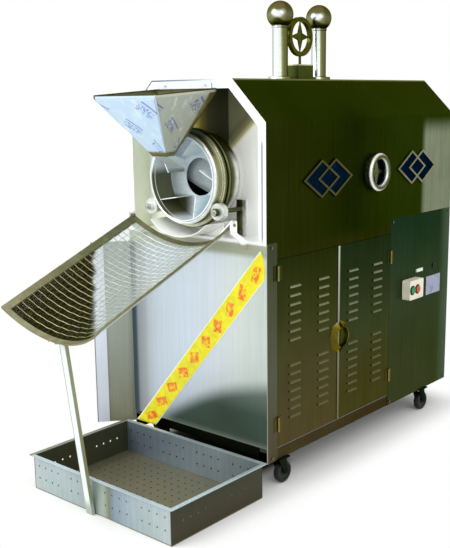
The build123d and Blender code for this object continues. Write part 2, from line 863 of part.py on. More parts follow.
door_low = sill_top + sheet + door_gap
door_high = door_head - door_gap
front_door = pan(half, (doors_start + door_gap, door_low), (doors_middle - door_gap / 2, door_high))
front_door = louvres(front_door, [doors_start + column for column in louvre_columns])
front_door += block((half, doors_middle - door_gap / 2 - meeting_strip, door_low),
                    (half + sheet, doors_middle - door_gap / 2, door_high))
rear_door = pan(half, (doors_middle + door_gap / 2, door_low), (doors_end - door_gap, door_high))
rear_door = louvres(rear_door, [doors_end - column for column in louvre_columns])

pull_at = Pos(doors_middle, pull_centre)
pull_base = Plane.YZ.offset(half) * pull_at * RegularPolygon(pull_radius, 8)
pull_top = Plane.YZ.offset(half + pull_height) * pull_at * RegularPolygon(pull_top_radius, 8)
whole_pull = loft([pull_base, pull_top], ruled=True)
pull_cup = Plane.YZ.offset(half + pull_height / 3) * pull_at * RegularPolygon(
    pull_top_radius - knuckle_radius, 8)
whole_pull -= extrude(pull_cup, amount=pull_height)
pull_start = doors_middle - door_gap / 2
half_pull = whole_pull - block((inside, pull_start - meeting_strip, 0),
                               (half + 2 * pull_height, doors_middle + 2 * pull_radius, body_top))
nodes["front_door"] = front_door
nodes["front_door_brass"] = group(half_pull, *[place * door_leaf() for place in front_hinges])
half_pull = whole_pull - block((inside, doors_middle - 2 * pull_radius, 0),
                               (half + 2 * pull_height, doors_middle + door_gap / 2, body_top))
nodes["rear_door"] = rear_door
rear_leaf = mirror(door_leaf(), about=Plane.XZ)
nodes["rear_door_brass"] = group(half_pull, *[place * rear_leaf for place in rear_hinges])

# Left service door, a flat flap shown standing open; its bright pull strip runs along the free edge
service_start = service_hinge_line + leaf_start
service_end = service_hinge_line + service_width
flap_outer = -half - knuckle_gap - sheet
service_door = block((flap_outer, service_start, service_bottom), (flap_outer + sheet, service_end, service_top))
service_door += block((flap_outer - sheet, service_end - service_strip, service_bottom),
                      (flap_outer, service_end, service_top))
for place in service_hinges:
    service_door += place * mirror(door_leaf(), about=Plane.YZ)
service_door -= block((-half - knuckle_gap, service_start, 0), (0, service_end, body_top))
service_axis = Axis((-hinge_line, service_hinge_line, 0), (0, 0, 1))
nodes["service_door"] = service_door.rotate(service_axis, service_opening_angle)

# Control section: push-button box, two buttons, bare plate, pilot lamp and cable grommet
switch_place = body_depth - switch_back
switch_box = block(
    (half, switch_place - switch_width / 2, switch_height - switch_tall / 2),
    (half + switch_depth, switch_place + switch_width / 2, switch_height + switch_tall / 2),
)
switch_box = fillet(switch_box.edges().filter_by(Axis.X), switch_round)
button_end = half + switch_depth + button_proud
for name, side in (("start_button", -1), ("stop_button", 1)):
    y = switch_place - button_shift + side * button_spacing / 2
    button = rod((button_end - button_length, y, switch_height), (button_end, y, switch_height), button_radius)
    switch_box -= rod((button_end - button_length - button_travel - 1, y, switch_height),
                      (button_end, y, switch_height), button_radius + button_gap)
    nodes[name] = chamfer(button.edges().group_by(Axis.X)[-1], sheet / 2)
nodes["switch_box"] = switch_box
plate_end = body_depth - blank_plate_back + blank_plate_width / 2
nodes["blank_plate"] = block(
    (half, plate_end - blank_plate_width, blank_plate_middle - blank_plate_height / 2),
    (half + sheet, plate_end, blank_plate_middle + blank_plate_height / 2),
)
lamp_place = body_depth - lamp_back
pilot_lamp = block((half, lamp_place - lamp_width / 2, small_part_height - lamp_tall / 2),
                   (half + lamp_depth, lamp_place + lamp_width / 2, small_part_height + lamp_tall / 2))
nodes["pilot_lamp"] = fillet(pilot_lamp.faces().sort_by(Axis.X)[-1].edges(), lamp_round)
grommet = rod((half, grommet_place, small_part_height), (half + grommet_flange, grommet_place, small_part_height),
              grommet_radius)
grommet += rod((inside - grommet_flange, grommet_place, small_part_height),
               (half, grommet_place, small_part_height), grommet_neck)
nodes["cable_grommet"] = grommet - rod((inside - 2 * grommet_flange, grommet_place, small_part_height),
                                       (half + 2 * grommet_flange, grommet_place, small_part_height), grommet_bore)

# Side emblems: pairs of interlocked lozenges, and a deep ring with a star, over dark inserts
lozenge_rim = diamond(lozenge_half_width, lozenge_half_height)
band_x = emblem_band * hypot(lozenge_half_width, lozenge_half_height) / lozenge_half_height
band_y = emblem_band * hypot(lozenge_half_width, lozenge_half_height) / lozenge_half_width
lozenge_field = diamond(lozenge_half_width - band_x, lozenge_half_height - band_y)
lozenge_pair = Sketch()
lozenge_fields = Sketch()
for side in (-1, 1):
    lozenge_pair += Pos(side * lozenge_offset, 0) * (lozenge_rim - lozenge_field)
    lozenge_fields += Pos(side * lozenge_offset, 0) * lozenge_field
lozenge_fields -= lozenge_pair
ring_middle = ring_radius - ring_tube
ring_front = half + ring_depth - ring_tube
ring_bore = ring_middle - ring_wall / 2
ring_sleeve = Circle(ring_middle + ring_wall / 2) - Circle(ring_bore)
frames = []
inserts = []
for y in lozenge_places:
    frames.append(Pos(0, y, emblem_height) * side_sketch(lozenge_pair, half, half + emblem_thickness))
    inserts.append(Pos(0, y, emblem_height) * side_sketch(lozenge_fields, half, half + emblem_insert))
ring_at = Pos(0, ring_place, emblem_height)
ring_emblem = side_sketch(ring_sleeve, half, ring_front)
ring_emblem += Pos(ring_front, 0, 0) * Rot(0, 90, 0) * Torus(ring_middle, ring_tube)
frames.append(ring_at * ring_emblem)
star_base = half + emblem_insert
ring_star = star(ring_middle - ring_tube / 2, star_waist)
frames.append(ring_at * side_sketch(ring_star, star_base, star_base + star_thickness))
inserts.append(ring_at * side_sketch(Circle(ring_bore), half, star_base))
nodes["emblem_frames"] = group(*frames)
nodes["emblem_inserts"] = group(*inserts)

# Crest on the roof: two posts with balls, the vent box between them and the ring finial on its stem
crest_posts = []
post_starts = [crest_middle + side * crest_spacing / 2 for side in (-1, 1)]
for y in post_starts:
    crest_post = rod((0, y, body_top), (0, y, body_top + crest_foot), crest_foot_radius)
    crest_post += rod((0, y, body_top), (0, y, body_top + crest_ball_height), crest_post_radius)
    crest_post += Pos(0, y, body_top + crest_ball_height) * Sphere(crest_ball_radius)
    crest_posts.append(crest_post)
nodes["crest_posts"] = group(*crest_posts)
vent_across = flue_width / 2 + vent_margin
vent_along = flue_length / 2 + vent_margin
vent_top = body_top + vent_box_height
vent_box = block((-vent_across, crest_middle - vent_along, body_top),
                 (vent_across, crest_middle + vent_along, vent_top))
nodes["vent_box"] = vent_box - block(
    (sheet - vent_across, crest_middle - vent_along + sheet, body_top - 1),
    (vent_across - sheet, crest_middle + vent_along - sheet, vent_top - sheet),
)

finial_ring = Circle(finial_radius) - Circle(finial_radius - finial_band)
finial = side_sketch(finial_ring, -finial_depth / 2, finial_depth / 2)
finial_star = star(finial_radius - finial_band + sheet, star_waist)
finial += side_sketch(finial_star, -star_thickness / 2, star_thickness / 2)
finial = Pos(0, crest_middle, body_top + finial_centre) * finial
finial += rod((0, crest_middle, vent_top),
              (0, crest_middle, body_top + finial_centre - finial_radius + finial_band / 2), finial_stem_radius)
nodes["ring_finial"] = finial

# Hopper: an inverted pyramid with a spout back into the mouth, hung on two pegs
rim_back = -hopper_back_gap
rim_front = rim_back - hopper_rim


def hopper_section(inset, height, width, depth, middle):
    """A level section of the hopper: a rectangle drawn in by an inset."""
    side = width / 2 - inset
    reach = depth / 2 - inset
    corners = [(-side, -reach), (side, -reach), (side, reach), (-side, reach)]
    return make_face(Polyline(*[(hopper_across + x, middle + y, height) for x, y in corners], close=True))


rim_middle = (rim_back + rim_front) / 2


def rim_section(inset):
    """The section at the foot of the hopper's rim band."""
    return hopper_section(inset, hopper_rim_height, hopper_rim, hopper_rim, rim_middle)


def outlet_section(inset):
    """The section at the hopper's outlet."""
    return hopper_section(inset, hopper_outlet_height, hopper_outlet, hopper_outlet_depth, hopper_outlet_middle)


hopper_body = loft([rim_section(0), outlet_section(0)], ruled=True)
hopper_core = loft([rim_section(sheet), outlet_section(sheet)], ruled=True)
hopper_band = extrude(rim_section(0), amount=hopper_rim_band, dir=(0, 0, 1))
hopper_band -= extrude(rim_section(sheet), amount=hopper_rim_band, dir=(0, 0, 1))
outlet_front = hopper_outlet_middle - hopper_outlet_depth / 2
outlet_back = hopper_outlet_middle + hopper_outlet_depth / 2
spout_end_low = hopper_outlet_height - spout_drop
spout_outline = [
    (outlet_front, hopper_outlet_height),
    (outlet_back, hopper_outlet_height),
    (spout_end, spout_end_low + spout_end_height),
    (spout_end, spout_end_low),
]
spout_core = [
    (outlet_front + sheet, hopper_outlet_height + 1),
    (spout_end + 1, hopper_outlet_height + 1),
    (spout_end + 1, spout_end_low + sheet),
    (outlet_front + sheet, hopper_outlet_height - sheet / 2),
]
spout_half = hopper_outlet / 2
spout = across(spout_outline, hopper_across - spout_half, hopper_across + spout_half)
spout -= across(spout_core, hopper_across - spout_half + sheet, hopper_across + spout_half - sheet)
hanger = block((hopper_across - hanger_width / 2, rim_back - sheet, hopper_rim_height),
               (hopper_across + hanger_width / 2, rim_back, hopper_rim_height + hanger_height))
hopper = hopper_body - hopper_core + hopper_band + spout + hanger
hopper = hopper.rotate(Axis((0, rim_back, peg_height), (1, 0, 0)), hopper_tilt)
for side in (-1, 1):
    peg_across = hopper_across + side * peg_spacing / 2
    hopper -= rod((peg_across, rim_back - 2 * sheet, peg_height), (peg_across, 1, peg_height), peg_radius + peg_fit)
nodes["hopper"] = hopper

# Mesh chute, laid out flat from its pivot line and then sloped: -Y runs down the chute, +Z away from the mesh
chute_place = Pos(0, chute_pivot_front, chute_pivot_height) * Rot(chute_slope, 0, 0)
trough_radius = (chute_half_width**2 + chute_sag**2) / (2 * chute_sag)
trough_axis = trough_radius - chute_sag
chute_start = trunnion_radius
chute_end = chute_start - chute_length
bar_outer = trough_radius + chute_bar_thickness


def trough(inner, outer):
    """A curved sheet of the whole trough between two radii."""
    ring = Circle(outer) - Circle(inner)
    below = Pos(0, -trough_axis - outer / 2) * Rectangle(2 * chute_half_width, outer)
    return Pos(0, 0, trough_axis) * front_sketch(ring & below, chute_end, chute_start)


window = block(
    (chute_bar - chute_half_width, chute_end + chute_bar, -2 * chute_sag),
    (chute_half_width - chute_bar, chute_start - chute_bar, chute_sag),
)
chute_frame = trough(trough_radius, bar_outer) - window
for side in (-1, 1):
    start = side * (chute_half_width - chute_bar / 2)
    chute_frame += rod((start, 0, 0), (side * (chute_half_width + trunnion_reach), 0, 0), trunnion_radius)
mesh_middle = trough_radius + chute_bar_thickness / 2
mesh_sheet = trough(mesh_middle - mesh_thickness / 2, mesh_middle + mesh_thickness / 2) & window
gap_width = (2 * (chute_half_width - chute_bar) - mesh_wire) / mesh_columns
gap_length = (chute_length - 2 * chute_bar - mesh_wire) / mesh_rows
mesh_gaps = Sketch()
gap_places = [
    Pos((i - (mesh_columns - 1) / 2) * gap_width, (chute_start + chute_end) / 2 + (j - (mesh_rows - 1) / 2) * gap_length)
    for i in range(mesh_columns)
    for j in range(mesh_rows)
]
mesh_gaps += [place * Rectangle(gap_width - mesh_wire, gap_length - mesh_wire) for place in gap_places]
mesh_cut = extrude(Pos(0, 0, -2 * chute_sag) * mesh_gaps, amount=3 * chute_sag)
nodes["chute_frame"] = chute_place * chute_frame
chute_mesh = mesh_sheet - mesh_cut
for i in range(1, mesh_bands):
    slit_middle = (i / mesh_bands - 0.5) * mesh_columns * gap_width
    chute_mesh -= block((slit_middle - mesh_slit / 2, chute_end, -2 * chute_sag),
                        (slit_middle + mesh_slit / 2, chute_start, chute_sag))
nodes["chute_mesh"] = chute_place * chute_mesh

# Chute leg: a flat bar in a socket on a tongue from the lower end bar, standing on the floor
socket_top = chute_pivot_height - (chute_pivot_front - leg_top) * tan(radians(chute_slope))
socket_low = socket_top - chute_sag / cos(radians(chute_slope)) - chute_bar_thickness - socket_height


def leg_outline(thickness, low, high):
    """A leaning flat bar seen from the right, between two heights."""
    lean = (leg_foot - leg_top) / socket_low
    foot = leg_foot - low * lean
    head = leg_foot - high * lean
    reach = thickness / 2
    return [(foot - reach, low), (foot + reach, low), (head + reach, high), (head - reach, high)]


leg_left = leg_across - leg_width / 2
leg_right = leg_across + leg_width / 2
chute_leg = across(leg_outline(leg_thickness, 0, socket_top), leg_left, leg_right)
chute_leg += across(leg_outline(leg_thickness + 2 * socket_wall, socket_low, socket_top),
                    leg_left - socket_wall, leg_right + socket_wall)
trough_filler = rod((0, chute_end - chute_length, trough_axis), (0, chute_length, trough_axis), bar_outer)
chute_leg -= chute_place * trough_filler
bar_drop = (chute_sag + chute_bar_thickness) * sin(radians(chute_slope))
leg_along = (chute_pivot_front - leg_top + bar_drop) / cos(radians(chute_slope))
tongue = rod((0, chute_end, trough_axis), (0, leg_thickness - leg_along, trough_axis), bar_outer + socket_wall)
tongue &= block((leg_left - socket_wall, chute_end, -2 * bar_outer), (leg_right + socket_wall, 0, 0))
nodes["chute_leg"] = chute_leg + chute_place * (tongue - trough_filler)

# Tray: a folded pan with a lip all round and rows of round holes
tray_left = -tray_width / 2
tray_low = (tray_left + tray_lip, tray_front + tray_lip, 0)
tray_high = (-tray_left - tray_lip, tray_back - tray_lip, tray_height)
tray = block(tray_low, tray_high)
tray += block((tray_left, tray_front, tray_height - tray_wall), (-tray_left, tray_back, tray_height))
tray -= block((tray_low[0] + tray_wall, tray_low[1] + tray_wall, tray_wall),
              (tray_high[0] - tray_wall, tray_high[1] - tray_wall, tray_height + 1))


def hole_row(length, pitch):
    """Evenly spaced places along the floor, centred, clear of its ends."""
    count = int((length - 2 * tray_floor_margin) // pitch) + 1
    return [(i - (count - 1) / 2) * pitch for i in range(count)]


def hole_groups(length, margin, groups):
    """Places along a wall in groups of neighbours, the outermost a margin from the wall's ends."""
    spread = (tray_group_count - 1) * tray_hole_pitch
    step = (length - 2 * margin - spread) / (groups - 1)
    places = []
    for group_number in range(groups):
        middle = (group_number - (groups - 1) / 2) * step
        places += [middle + (i - (tray_group_count - 1) / 2) * tray_hole_pitch for i in range(tray_group_count)]
    return places


tray_middle = (tray_front + tray_back) / 2
wall_length = tray_width - 2 * tray_lip
wall_depth = tray_depth - 2 * tray_lip
long_places = hole_groups(wall_length, tray_long_margin, tray_long_group_count)
short_places = hole_groups(wall_depth, tray_short_margin, tray_short_group_count)
long_holes = [(x, z) for x in long_places for z in tray_long_rows]
short_holes = [(tray_middle + y, z) for y in short_places for z in tray_short_rows]
floor_holes = [
    (x, tray_middle + y)
    for x in hole_row(wall_length, tray_floor_pitch)
    for y in hole_row(wall_depth, tray_floor_pitch)
]
hole_sketches = []
for places in (long_holes, short_holes, floor_holes):
    hole_sketches.append(Sketch() + [Pos(*place) * Circle(tray_hole) for place in places])
for wall in (tray_low[1], tray_high[1] - tray_wall):
    tray -= front_sketch(hole_sketches[0], wall - 1, wall + tray_wall + 1)
for wall in (tray_low[0], tray_high[0] - tray_wall):
    tray -= side_sketch(hole_sketches[1], wall - 1, wall + tray_wall + 1)
tray -= extrude(Pos(0, 0, -1) * hole_sketches[2], amount=tray_wall + 2)
nodes["tray"] = tray

# Casters: a plate under each corner, a fork that swivels below it and a wheel
plate_low = underside - caster_plate
head_top = plate_low - rolling_gap
cheek_inner = wheel_width / 2 + caster_cheek_gap
cheek_outer = cheek_inner + caster_cheek
caster_plates = []
for name, (x, y) in zip(caster_names, caster_places):
    plate = block((x - caster_plate_side / 2, y - caster_plate_side / 2, plate_low),
                  (x + caster_plate_side / 2, y + caster_plate_side / 2, underside))
    plate -= rod((x, y, plate_low - 1), (x, y, underside + 1), caster_pin + running_fit)
    caster_plates.append(plate)
    fork = rod((0, 0, head_top - caster_head), (0, 0, head_top), caster_head_radius)
    fork += rod((0, 0, head_top), (0, 0, underside - 1), caster_pin)
    cheek = [
        (-caster_head_radius / 2, head_top - caster_head / 2),
        (caster_head_radius, head_top - caster_head / 2),
        (caster_trail + 2 * caster_axle, wheel_radius - caster_axle),
        (caster_trail - 2 * caster_axle, wheel_radius - caster_axle),
    ]
    for side in (-1, 1):
        fork += across(cheek, *sorted((side * cheek_inner, side * cheek_outer)))
    fork += rod((-cheek_outer, caster_trail, wheel_radius), (cheek_outer, caster_trail, wheel_radius), caster_axle)
    nodes["caster_fork_" + name] = Pos(x, y, 0) * fork
    wheel = rod((-wheel_width / 2, 0, 0), (wheel_width / 2, 0, 0), wheel_radius)
    wheel = fillet(wheel.edges().sort_by(Axis.X)[0], tube_wall)
    wheel = fillet(wheel.edges().filter_by(GeomType.CIRCLE).sort_by(Axis.X)[-1], tube_wall)
    wheel -= rod((-wheel_width, 0, 0), (wheel_width, 0, 0), caster_axle + running_fit)
    nodes["caster_wheel_" + name] = Pos(x, y + caster_trail, wheel_radius) * wheel
nodes["caster_plates"] = group(*caster_plates)

# Screws: round heads on the stile, control panel, rear panels and recessed plate
screws = []
side_rows = [
    (stile_width / 2, (underside + screw_inset, seam_height - screw_inset)),
    (doors_end + screw_inset, (underside + screw_inset, seam_height - screw_inset)),
    (back_inside - screw_inset, (underside + screw_inset, seam_height - screw_inset)),
]
for y, heights in side_rows:
    for z in heights:
        screws.append(rod((half, y, z), (half + screw_head, y, z), screw_radius))
rear_rows = (underside + screw_inset, seam_height - screw_inset, seam_height + screw_inset)
for side in (-1, 1):
    for z in rear_rows:
        x = side * (half - screw_inset)
        screws.append(rod((x, body_depth, z), (x, body_depth + screw_head, z), screw_radius))
    bracket_bolts = (ledge + sheet + screw_inset, ledge + sheet + bracket_height - screw_inset)
    for z in bracket_bolts:
        x = side * roller_across
        bolt_face = recess_depth - bracket_thickness
        screws.append(rod((x, bolt_face - screw_head, z), (x, bolt_face, z), screw_radius))
nodes["panel_screws"] = group(*screws)

# Move the whole to its origin and write one file for each node
whole = Compound([solid for shape in nodes.values() for solid in shape.solids()]).bounding_box()
origin = Vector(-(whole.min.X + whole.max.X) / 2, -(whole.min.Y + whole.max.Y) / 2, -whole.min.Z)
os.makedirs("parts", exist_ok=True)
for name, shape in nodes.items():
    solids = shape.solids()
    piece = solids[0] if len(solids) == 1 else Compound(solids)
    export_step(Location(origin) * piece, f"parts/{name}.step")
print("nodes", len(nodes), "size", whole.size, "origin shift", origin)
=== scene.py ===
from math import cos, pi, radians, sin, sqrt

import bmesh
import bpy
import numpy as np
from bpy.props import FloatProperty, FloatVectorProperty, IntProperty, PointerProperty
from mathutils import Matrix, Vector


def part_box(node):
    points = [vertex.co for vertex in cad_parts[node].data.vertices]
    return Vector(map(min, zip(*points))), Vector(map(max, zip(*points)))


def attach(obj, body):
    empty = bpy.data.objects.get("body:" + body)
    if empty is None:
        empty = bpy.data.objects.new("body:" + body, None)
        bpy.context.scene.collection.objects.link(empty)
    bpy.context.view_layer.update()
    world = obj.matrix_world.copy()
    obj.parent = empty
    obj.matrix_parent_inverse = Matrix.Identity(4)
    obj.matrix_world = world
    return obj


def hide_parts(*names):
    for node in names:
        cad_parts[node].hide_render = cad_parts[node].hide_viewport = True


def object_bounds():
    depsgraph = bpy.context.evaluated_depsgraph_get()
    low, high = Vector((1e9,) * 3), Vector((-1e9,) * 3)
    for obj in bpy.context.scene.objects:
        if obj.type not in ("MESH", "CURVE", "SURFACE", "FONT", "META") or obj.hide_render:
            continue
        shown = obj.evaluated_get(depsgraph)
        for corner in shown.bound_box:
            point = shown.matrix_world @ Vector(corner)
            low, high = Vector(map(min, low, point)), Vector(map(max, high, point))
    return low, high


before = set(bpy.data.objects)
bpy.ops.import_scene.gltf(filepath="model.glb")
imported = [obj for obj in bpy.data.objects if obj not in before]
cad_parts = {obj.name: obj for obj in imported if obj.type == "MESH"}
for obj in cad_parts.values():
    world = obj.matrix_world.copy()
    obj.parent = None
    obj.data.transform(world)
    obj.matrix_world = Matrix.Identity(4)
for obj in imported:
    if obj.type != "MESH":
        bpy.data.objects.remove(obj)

bl_info = {
    "name": "Nut roasting machine",
    "version": (1, 0, 0),
    "blender": (4, 5, 0),
    "location": "View3D > Sidebar > Roaster",
    "description": "Dresses a drum roaster for nuts: sheet-metal finishes, mesh chute, hopper film and trim",
    "category": "Object",
}

# The shared frame is in metres. Places below are in millimetres from the middle of the cabinet's front at the
# floor, and are moved into the frame by where the front panel stands.
MM = 0.001
CAD_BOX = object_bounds()
PANEL_LOW, PANEL_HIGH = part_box("lower_front_panel")
ORIGIN = np.array([(PANEL_LOW.x + PANEL_HIGH.x) / 2, PANEL_LOW.y, 0.0])
HALF = (PANEL_HIGH.x - PANEL_LOW.x) / 2 / MM
# How far the cabinet's upper corners are cut off
CORNER_CUT = 135.0
# The line on the chute beyond which its wires and gauze carry a dark painted reflection: a direction, and how
# far along it that lies
DARK_REFLECTION_WAY = (0.6593, 0.7648, -0.0414)
DARK_REFLECTION_EDGE = -361.5
# The upper edge of the dark painted reflection at the front panel's foot: height = (bend * across + slope) *
# across + middle, in metres, and the places above and below it where the dark begins and is full
FOOT_BEND, FOOT_SLOPE, FOOT_MIDDLE = -0.623, 0.531, 0.268
FOOT_SOFT = (0.028, -0.045)
# The axis along which the doors' colours change, and their foot and head on it
DOOR_SPAN = ("Z", 140, 790)
# Directions of the cabinet's axes, and axes of a UV map
AXES = {"X": (1, 0, 0), "Y": (0, 1, 0), "Z": (0, 0, 1)}
MAP_AXES = {"U": "X", "V": "Y"}
# Places of the colour sockets on a Mix node
MIX_A, MIX_B, MIX_OUT = 6, 7, 2
# Points of a mesh that lie closer than this, in metres, are made one
MERGE = 1e-7


def in_frame(points):
    """Millimetre points of the cabinet as metre points of the shared frame."""
    return np.asarray(points, float) * MM + ORIGIN


def box_of(node):
    """The lowest and highest corner of a CAD node in cabinet millimetres."""
    return [(np.array(corner) - ORIGIN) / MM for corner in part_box(node)]


def linear(code):
    """An sRGB hex colour, or the colour setting of that name, as linear red, green and blue."""
    if not code.startswith("#"):
        return tuple(getattr(bpy.context.scene.roaster_colours, code))
    raw = np.array([int(code[i:i + 2], 16) for i in (1, 3, 5)]) / 255
    return tuple(np.where(raw <= 0.04045, raw / 12.92, ((raw + 0.055) / 1.055) ** 2.4).tolist())


# Settings


def colour_of(label, code, use):
    """A colour setting."""
    return FloatVectorProperty(name=label, description=use, subtype="COLOR", size=3, min=0, max=1,
                               default=linear(code))


def length_of(label, value, use):
    """A length setting given in millimetres."""
    return FloatProperty(name=label, description=use, subtype="DISTANCE", unit="LENGTH", default=value * MM)


def angle_of(label, value, use):
    """An angle setting given in degrees."""
    return FloatProperty(name=label, description=use, subtype="ANGLE", unit="ROTATION",
                         default=radians(value))


def count_of(label, value, use):
    """A setting that counts pieces."""
    return IntProperty(name=label, description=use, default=value, min=2, max=80)


def mm_of(settings, *names):
    """Length settings in millimetres."""
    values = [getattr(settings, name) / MM for name in names]
    return values[0] if len(values) == 1 else values


class RoasterStage(bpy.types.PropertyGroup):
    """Camera and light."""
    eye: FloatVectorProperty(name="Eye", description="Camera place from the cabinet's front", size=3,
                             subtype="TRANSLATION", unit="LENGTH", default=(2.0528, -2.1832, 1.2885))
    azimuth: angle_of("Azimuth", 41.22, "Turn of the view from straight ahead")
    pitch: angle_of("Pitch", 11.05, "Tilt of the view below level")
    roll: angle_of("Roll", -0.78, "Lean of the picture")
    lens: FloatProperty(name="Lens", description="Focal length", unit="CAMERA", default=59.1)
    key: FloatProperty(name="Key lamp", description="Power of the soft lamp from the front left",
                       subtype="POWER", unit="POWER", default=80.0)
    sky: FloatProperty(name="Sky", description="Strength of the even light on matt surfaces", default=1.0)


class RoasterColours(bpy.types.PropertyGroup):
    """Main colours of the finishes."""
    floor: colour_of("Floor", "#f2f2f0", "Pale studio floor")
    shell: colour_of("Shell", "#262d0b", "Dark olive sheen of the shell's side")
    shell_rear: colour_of("Shell, rear", "#8b937c", "Grey-beige sheen at the shell's rear end")
    front: colour_of("Front panel", "#dce7f0", "Pale sheen of the lower front panel")
    front_dark: colour_of("Front panel, foot", "#4c6055", "Dark green-grey sheen at the panel's foot")
    rim: colour_of("Front rim", "#f6fafb", "White flange and recess")
    door: colour_of("Doors", "#484a2c", "Olive-brown sheen of the doors")
    control: colour_of("Control section", "#3d4834", "Green-grey sheen of the control section")
    brass: colour_of("Brass", "#7a6d28", "Pressed brass of pulls and hinges")
    steel: colour_of("Polished steel", "#b9bdb4", "Polished bars and rings")
    plain: colour_of("Plain sheet", "#8f9590", "Sheet of the sides that are seldom seen")
    film: colour_of("Film", "#bfdaef", "Pale blue protective film on the hopper")
    film_side: colour_of("Film, side", "#a2a694", "Film on the hopper's shaded side")
    sash: colour_of("Sash", "#f4ea10", "Yellow printed strip")
    sash_mark: colour_of("Sash marks", "#ee641a", "Orange lozenges on the strip")
    tray: colour_of("Tray", "#a5b4b6", "Blue-grey sheet of the tray")
    wire: colour_of("Wire", "#e9efea", "Bright wire of the chute")
    rubber: colour_of("Rubber", "#16180f", "Black rubber")
    box: colour_of("Switch box", "#e6e2cf", "Cream moulded plastic")
    start: colour_of("Start button", "#12824a", "Green moulded plastic")
    stop: colour_of("Stop button", "#b8461a", "Red moulded plastic")


class RoasterSash(bpy.types.PropertyGroup):
    """Printed strip across the front panel."""
    foot_left: length_of("Foot left", -303, "Where the upper edge starts across the front")
    foot_right: length_of("Foot right", -204, "Where the lower edge starts across the front")
    foot_height: length_of("Foot height", 119, "Height of the lower end, which hangs below the panel")
    tip_across: length_of("Tip across", 290, "Place of the pointed end across the front")
    tip_height: length_of("Tip height", 814, "Height of the pointed end")
    shoulder_across: length_of("Shoulder across", 305, "Place of the end's lower corner")
    shoulder_height: length_of("Shoulder height", 718, "Height of the end's lower corner")
    swell: length_of("Swell", 9.4, "How far the upper end swells towards the panel's edge")
    curl: length_of("Curl", 5, "How far the hanging end curls forward")
    hang: length_of("Hang", 40, "Height below the panel over which the end curls")
    gap: length_of("Gap", 0.7, "Distance of the strip from the panel")
    ripple: length_of("Ripple", 0.15, "Height of the strip's waves")
    marks: count_of("Marks", 10, "Number of lozenges")


class RoasterMouth(bpy.types.PropertyGroup):
    """Ridged ring of the drum mouth, and what lies round and behind it."""
    axis_height: length_of("Axis height", 1031, "Height of the drum's axis")
    inner: length_of("Inner radius", 140, "Radius of the neck")
    track: length_of("Track radius", 152, "Radius that the rollers touch")
    front: length_of("Front", -50, "Front of the ring")
    rib: length_of("Rib radius", 165, "Radius of the ribs")
    rib_rise: length_of("Rib rise", 7, "Height of a rib's rounded part")
    rib_width: length_of("Rib width", 11, "Width of a rib")
    rib_start: length_of("Rib start", 32, "Distance of the first rib from the ring's front")
    rib_pitch: length_of("Rib pitch", 19, "Spacing of the ribs")
    ribs: count_of("Ribs", 2, "Number of ribs")
    plate_front: length_of("Plate front", 80, "Front face of the recessed plate")
    ledge: length_of("Ledge", PANEL_HIGH.z / MM + 28, "Height of the recess's floor")
    apron: length_of("Apron", 14, "Place of the sheet under the discharge lip behind the front")
    blade_place: length_of("Blade place", 62, "Place of the inner blade's outer edge behind the front")
    blade_drop: length_of("Blade drop", 44.5, "Distance of the inner blade's straight edge below the axis")
    blade_clearance: length_of("Blade clearance", 4.2, "Space between the inner blade and the neck")
    blade_lean: length_of("Blade lean", 3, "How far the inner blade's straight edge lies behind its rim")
    blade_slant: angle_of("Blade slant", -22.1, "Slant of the inner blade's straight edge")
    nut: length_of("Nut radius", 11.5, "Radius of the roller nuts across corners")


class RoasterChute(bpy.types.PropertyGroup):
    """Mesh chute."""
    pivot_front: length_of("Pivot front", -63, "Pivot line in front of the cabinet")
    pivot_height: length_of("Pivot height", 898, "Height of the pivot line")
    slope: angle_of("Slope", 21.8, "Slope at rest")
    half_width: length_of("Half width", 225, "Half of the trough's width")
    sag: length_of("Sag", 88, "Depth of the trough")
    length: length_of("Length", 608, "Length of the trough")
    start: length_of("Start", 5, "Upper end above the pivot line")
    bar: length_of("Bar", 18, "Width of the frame's flat bars")
    arcs: count_of("Arcs", 24, "Wires across the trough")
    lines: count_of("Lines", 22, "Wires along the trough")
    wire: length_of("Wire radius", 1.6, "Radius of the wires")
    wire_below: length_of("Wires below", 2.5, "Distance of the wires below the trough's face")
    gauze: length_of("Gauze pitch", 3.2, "Spacing of the fine gauze wires")
    gauze_wire: length_of("Gauze wire", 0.28, "Radius of a clean gauze wire")
    gauze_below: length_of("Gauze below", 5.2, "Distance of the gauze below the trough's face")


class RoasterHopper(bpy.types.PropertyGroup):
    """Feed hopper."""
    across: length_of("Across", -20, "Middle of the hopper across the front")
    rim: length_of("Rim", 276, "Side of the square rim")
    rim_back: length_of("Rim back", -3, "Back edge of the rim")
    rim_height: length_of("Rim height", 1310, "Height of the rim's foot")
    outlet_half: length_of("Outlet half width", 32, "Half width of the outlet")
    outlet_front: length_of("Outlet front", -142, "Front edge of the outlet")
    outlet_back: length_of("Outlet back", -110, "Back edge of the outlet")
    outlet_height: length_of("Outlet height", 1117, "Height of the outlet")
    tilt: angle_of("Tilt", 3.7, "Lean about the peg line")
    peg_height: length_of("Peg height", 1332.5, "Height of the peg line")
    bead: length_of("Bead", 2.2, "Radius of the bead along the rim")
    bead_lift: length_of("Bead lift", 9, "Height of the bead above the rim's foot")


class RoasterCrest(bpy.types.PropertyGroup):
    """Posts, balls and stars."""
    middle: length_of("Middle", 600, "Middle of the crest behind the front")
    spacing: length_of("Spacing", 240, "Distance between the posts")
    roof: length_of("Roof", 1350, "Height of the roof")
    post: length_of("Post radius", 28.5, "Radius of the posts")
    ball: length_of("Ball radius", 48.5, "Radius of the balls")
    ball_height: length_of("Ball height", 232, "Height of the ball's middle above the roof")
    foot: length_of("Foot radius", 45, "Radius of the foot flange")
    finial_height: length_of("Finial height", 159, "Height of the ring's middle above the roof")
    emblem_height: length_of("Emblem height", 1020, "Height of the side emblems")
    emblem_place: length_of("Ring emblem", 632, "Place of the ring emblem behind the front")
    star: length_of("Star reach", 55.5, "Reach of the star's points")
    waist: length_of("Star waist", 13, "Half width of the star between its points")


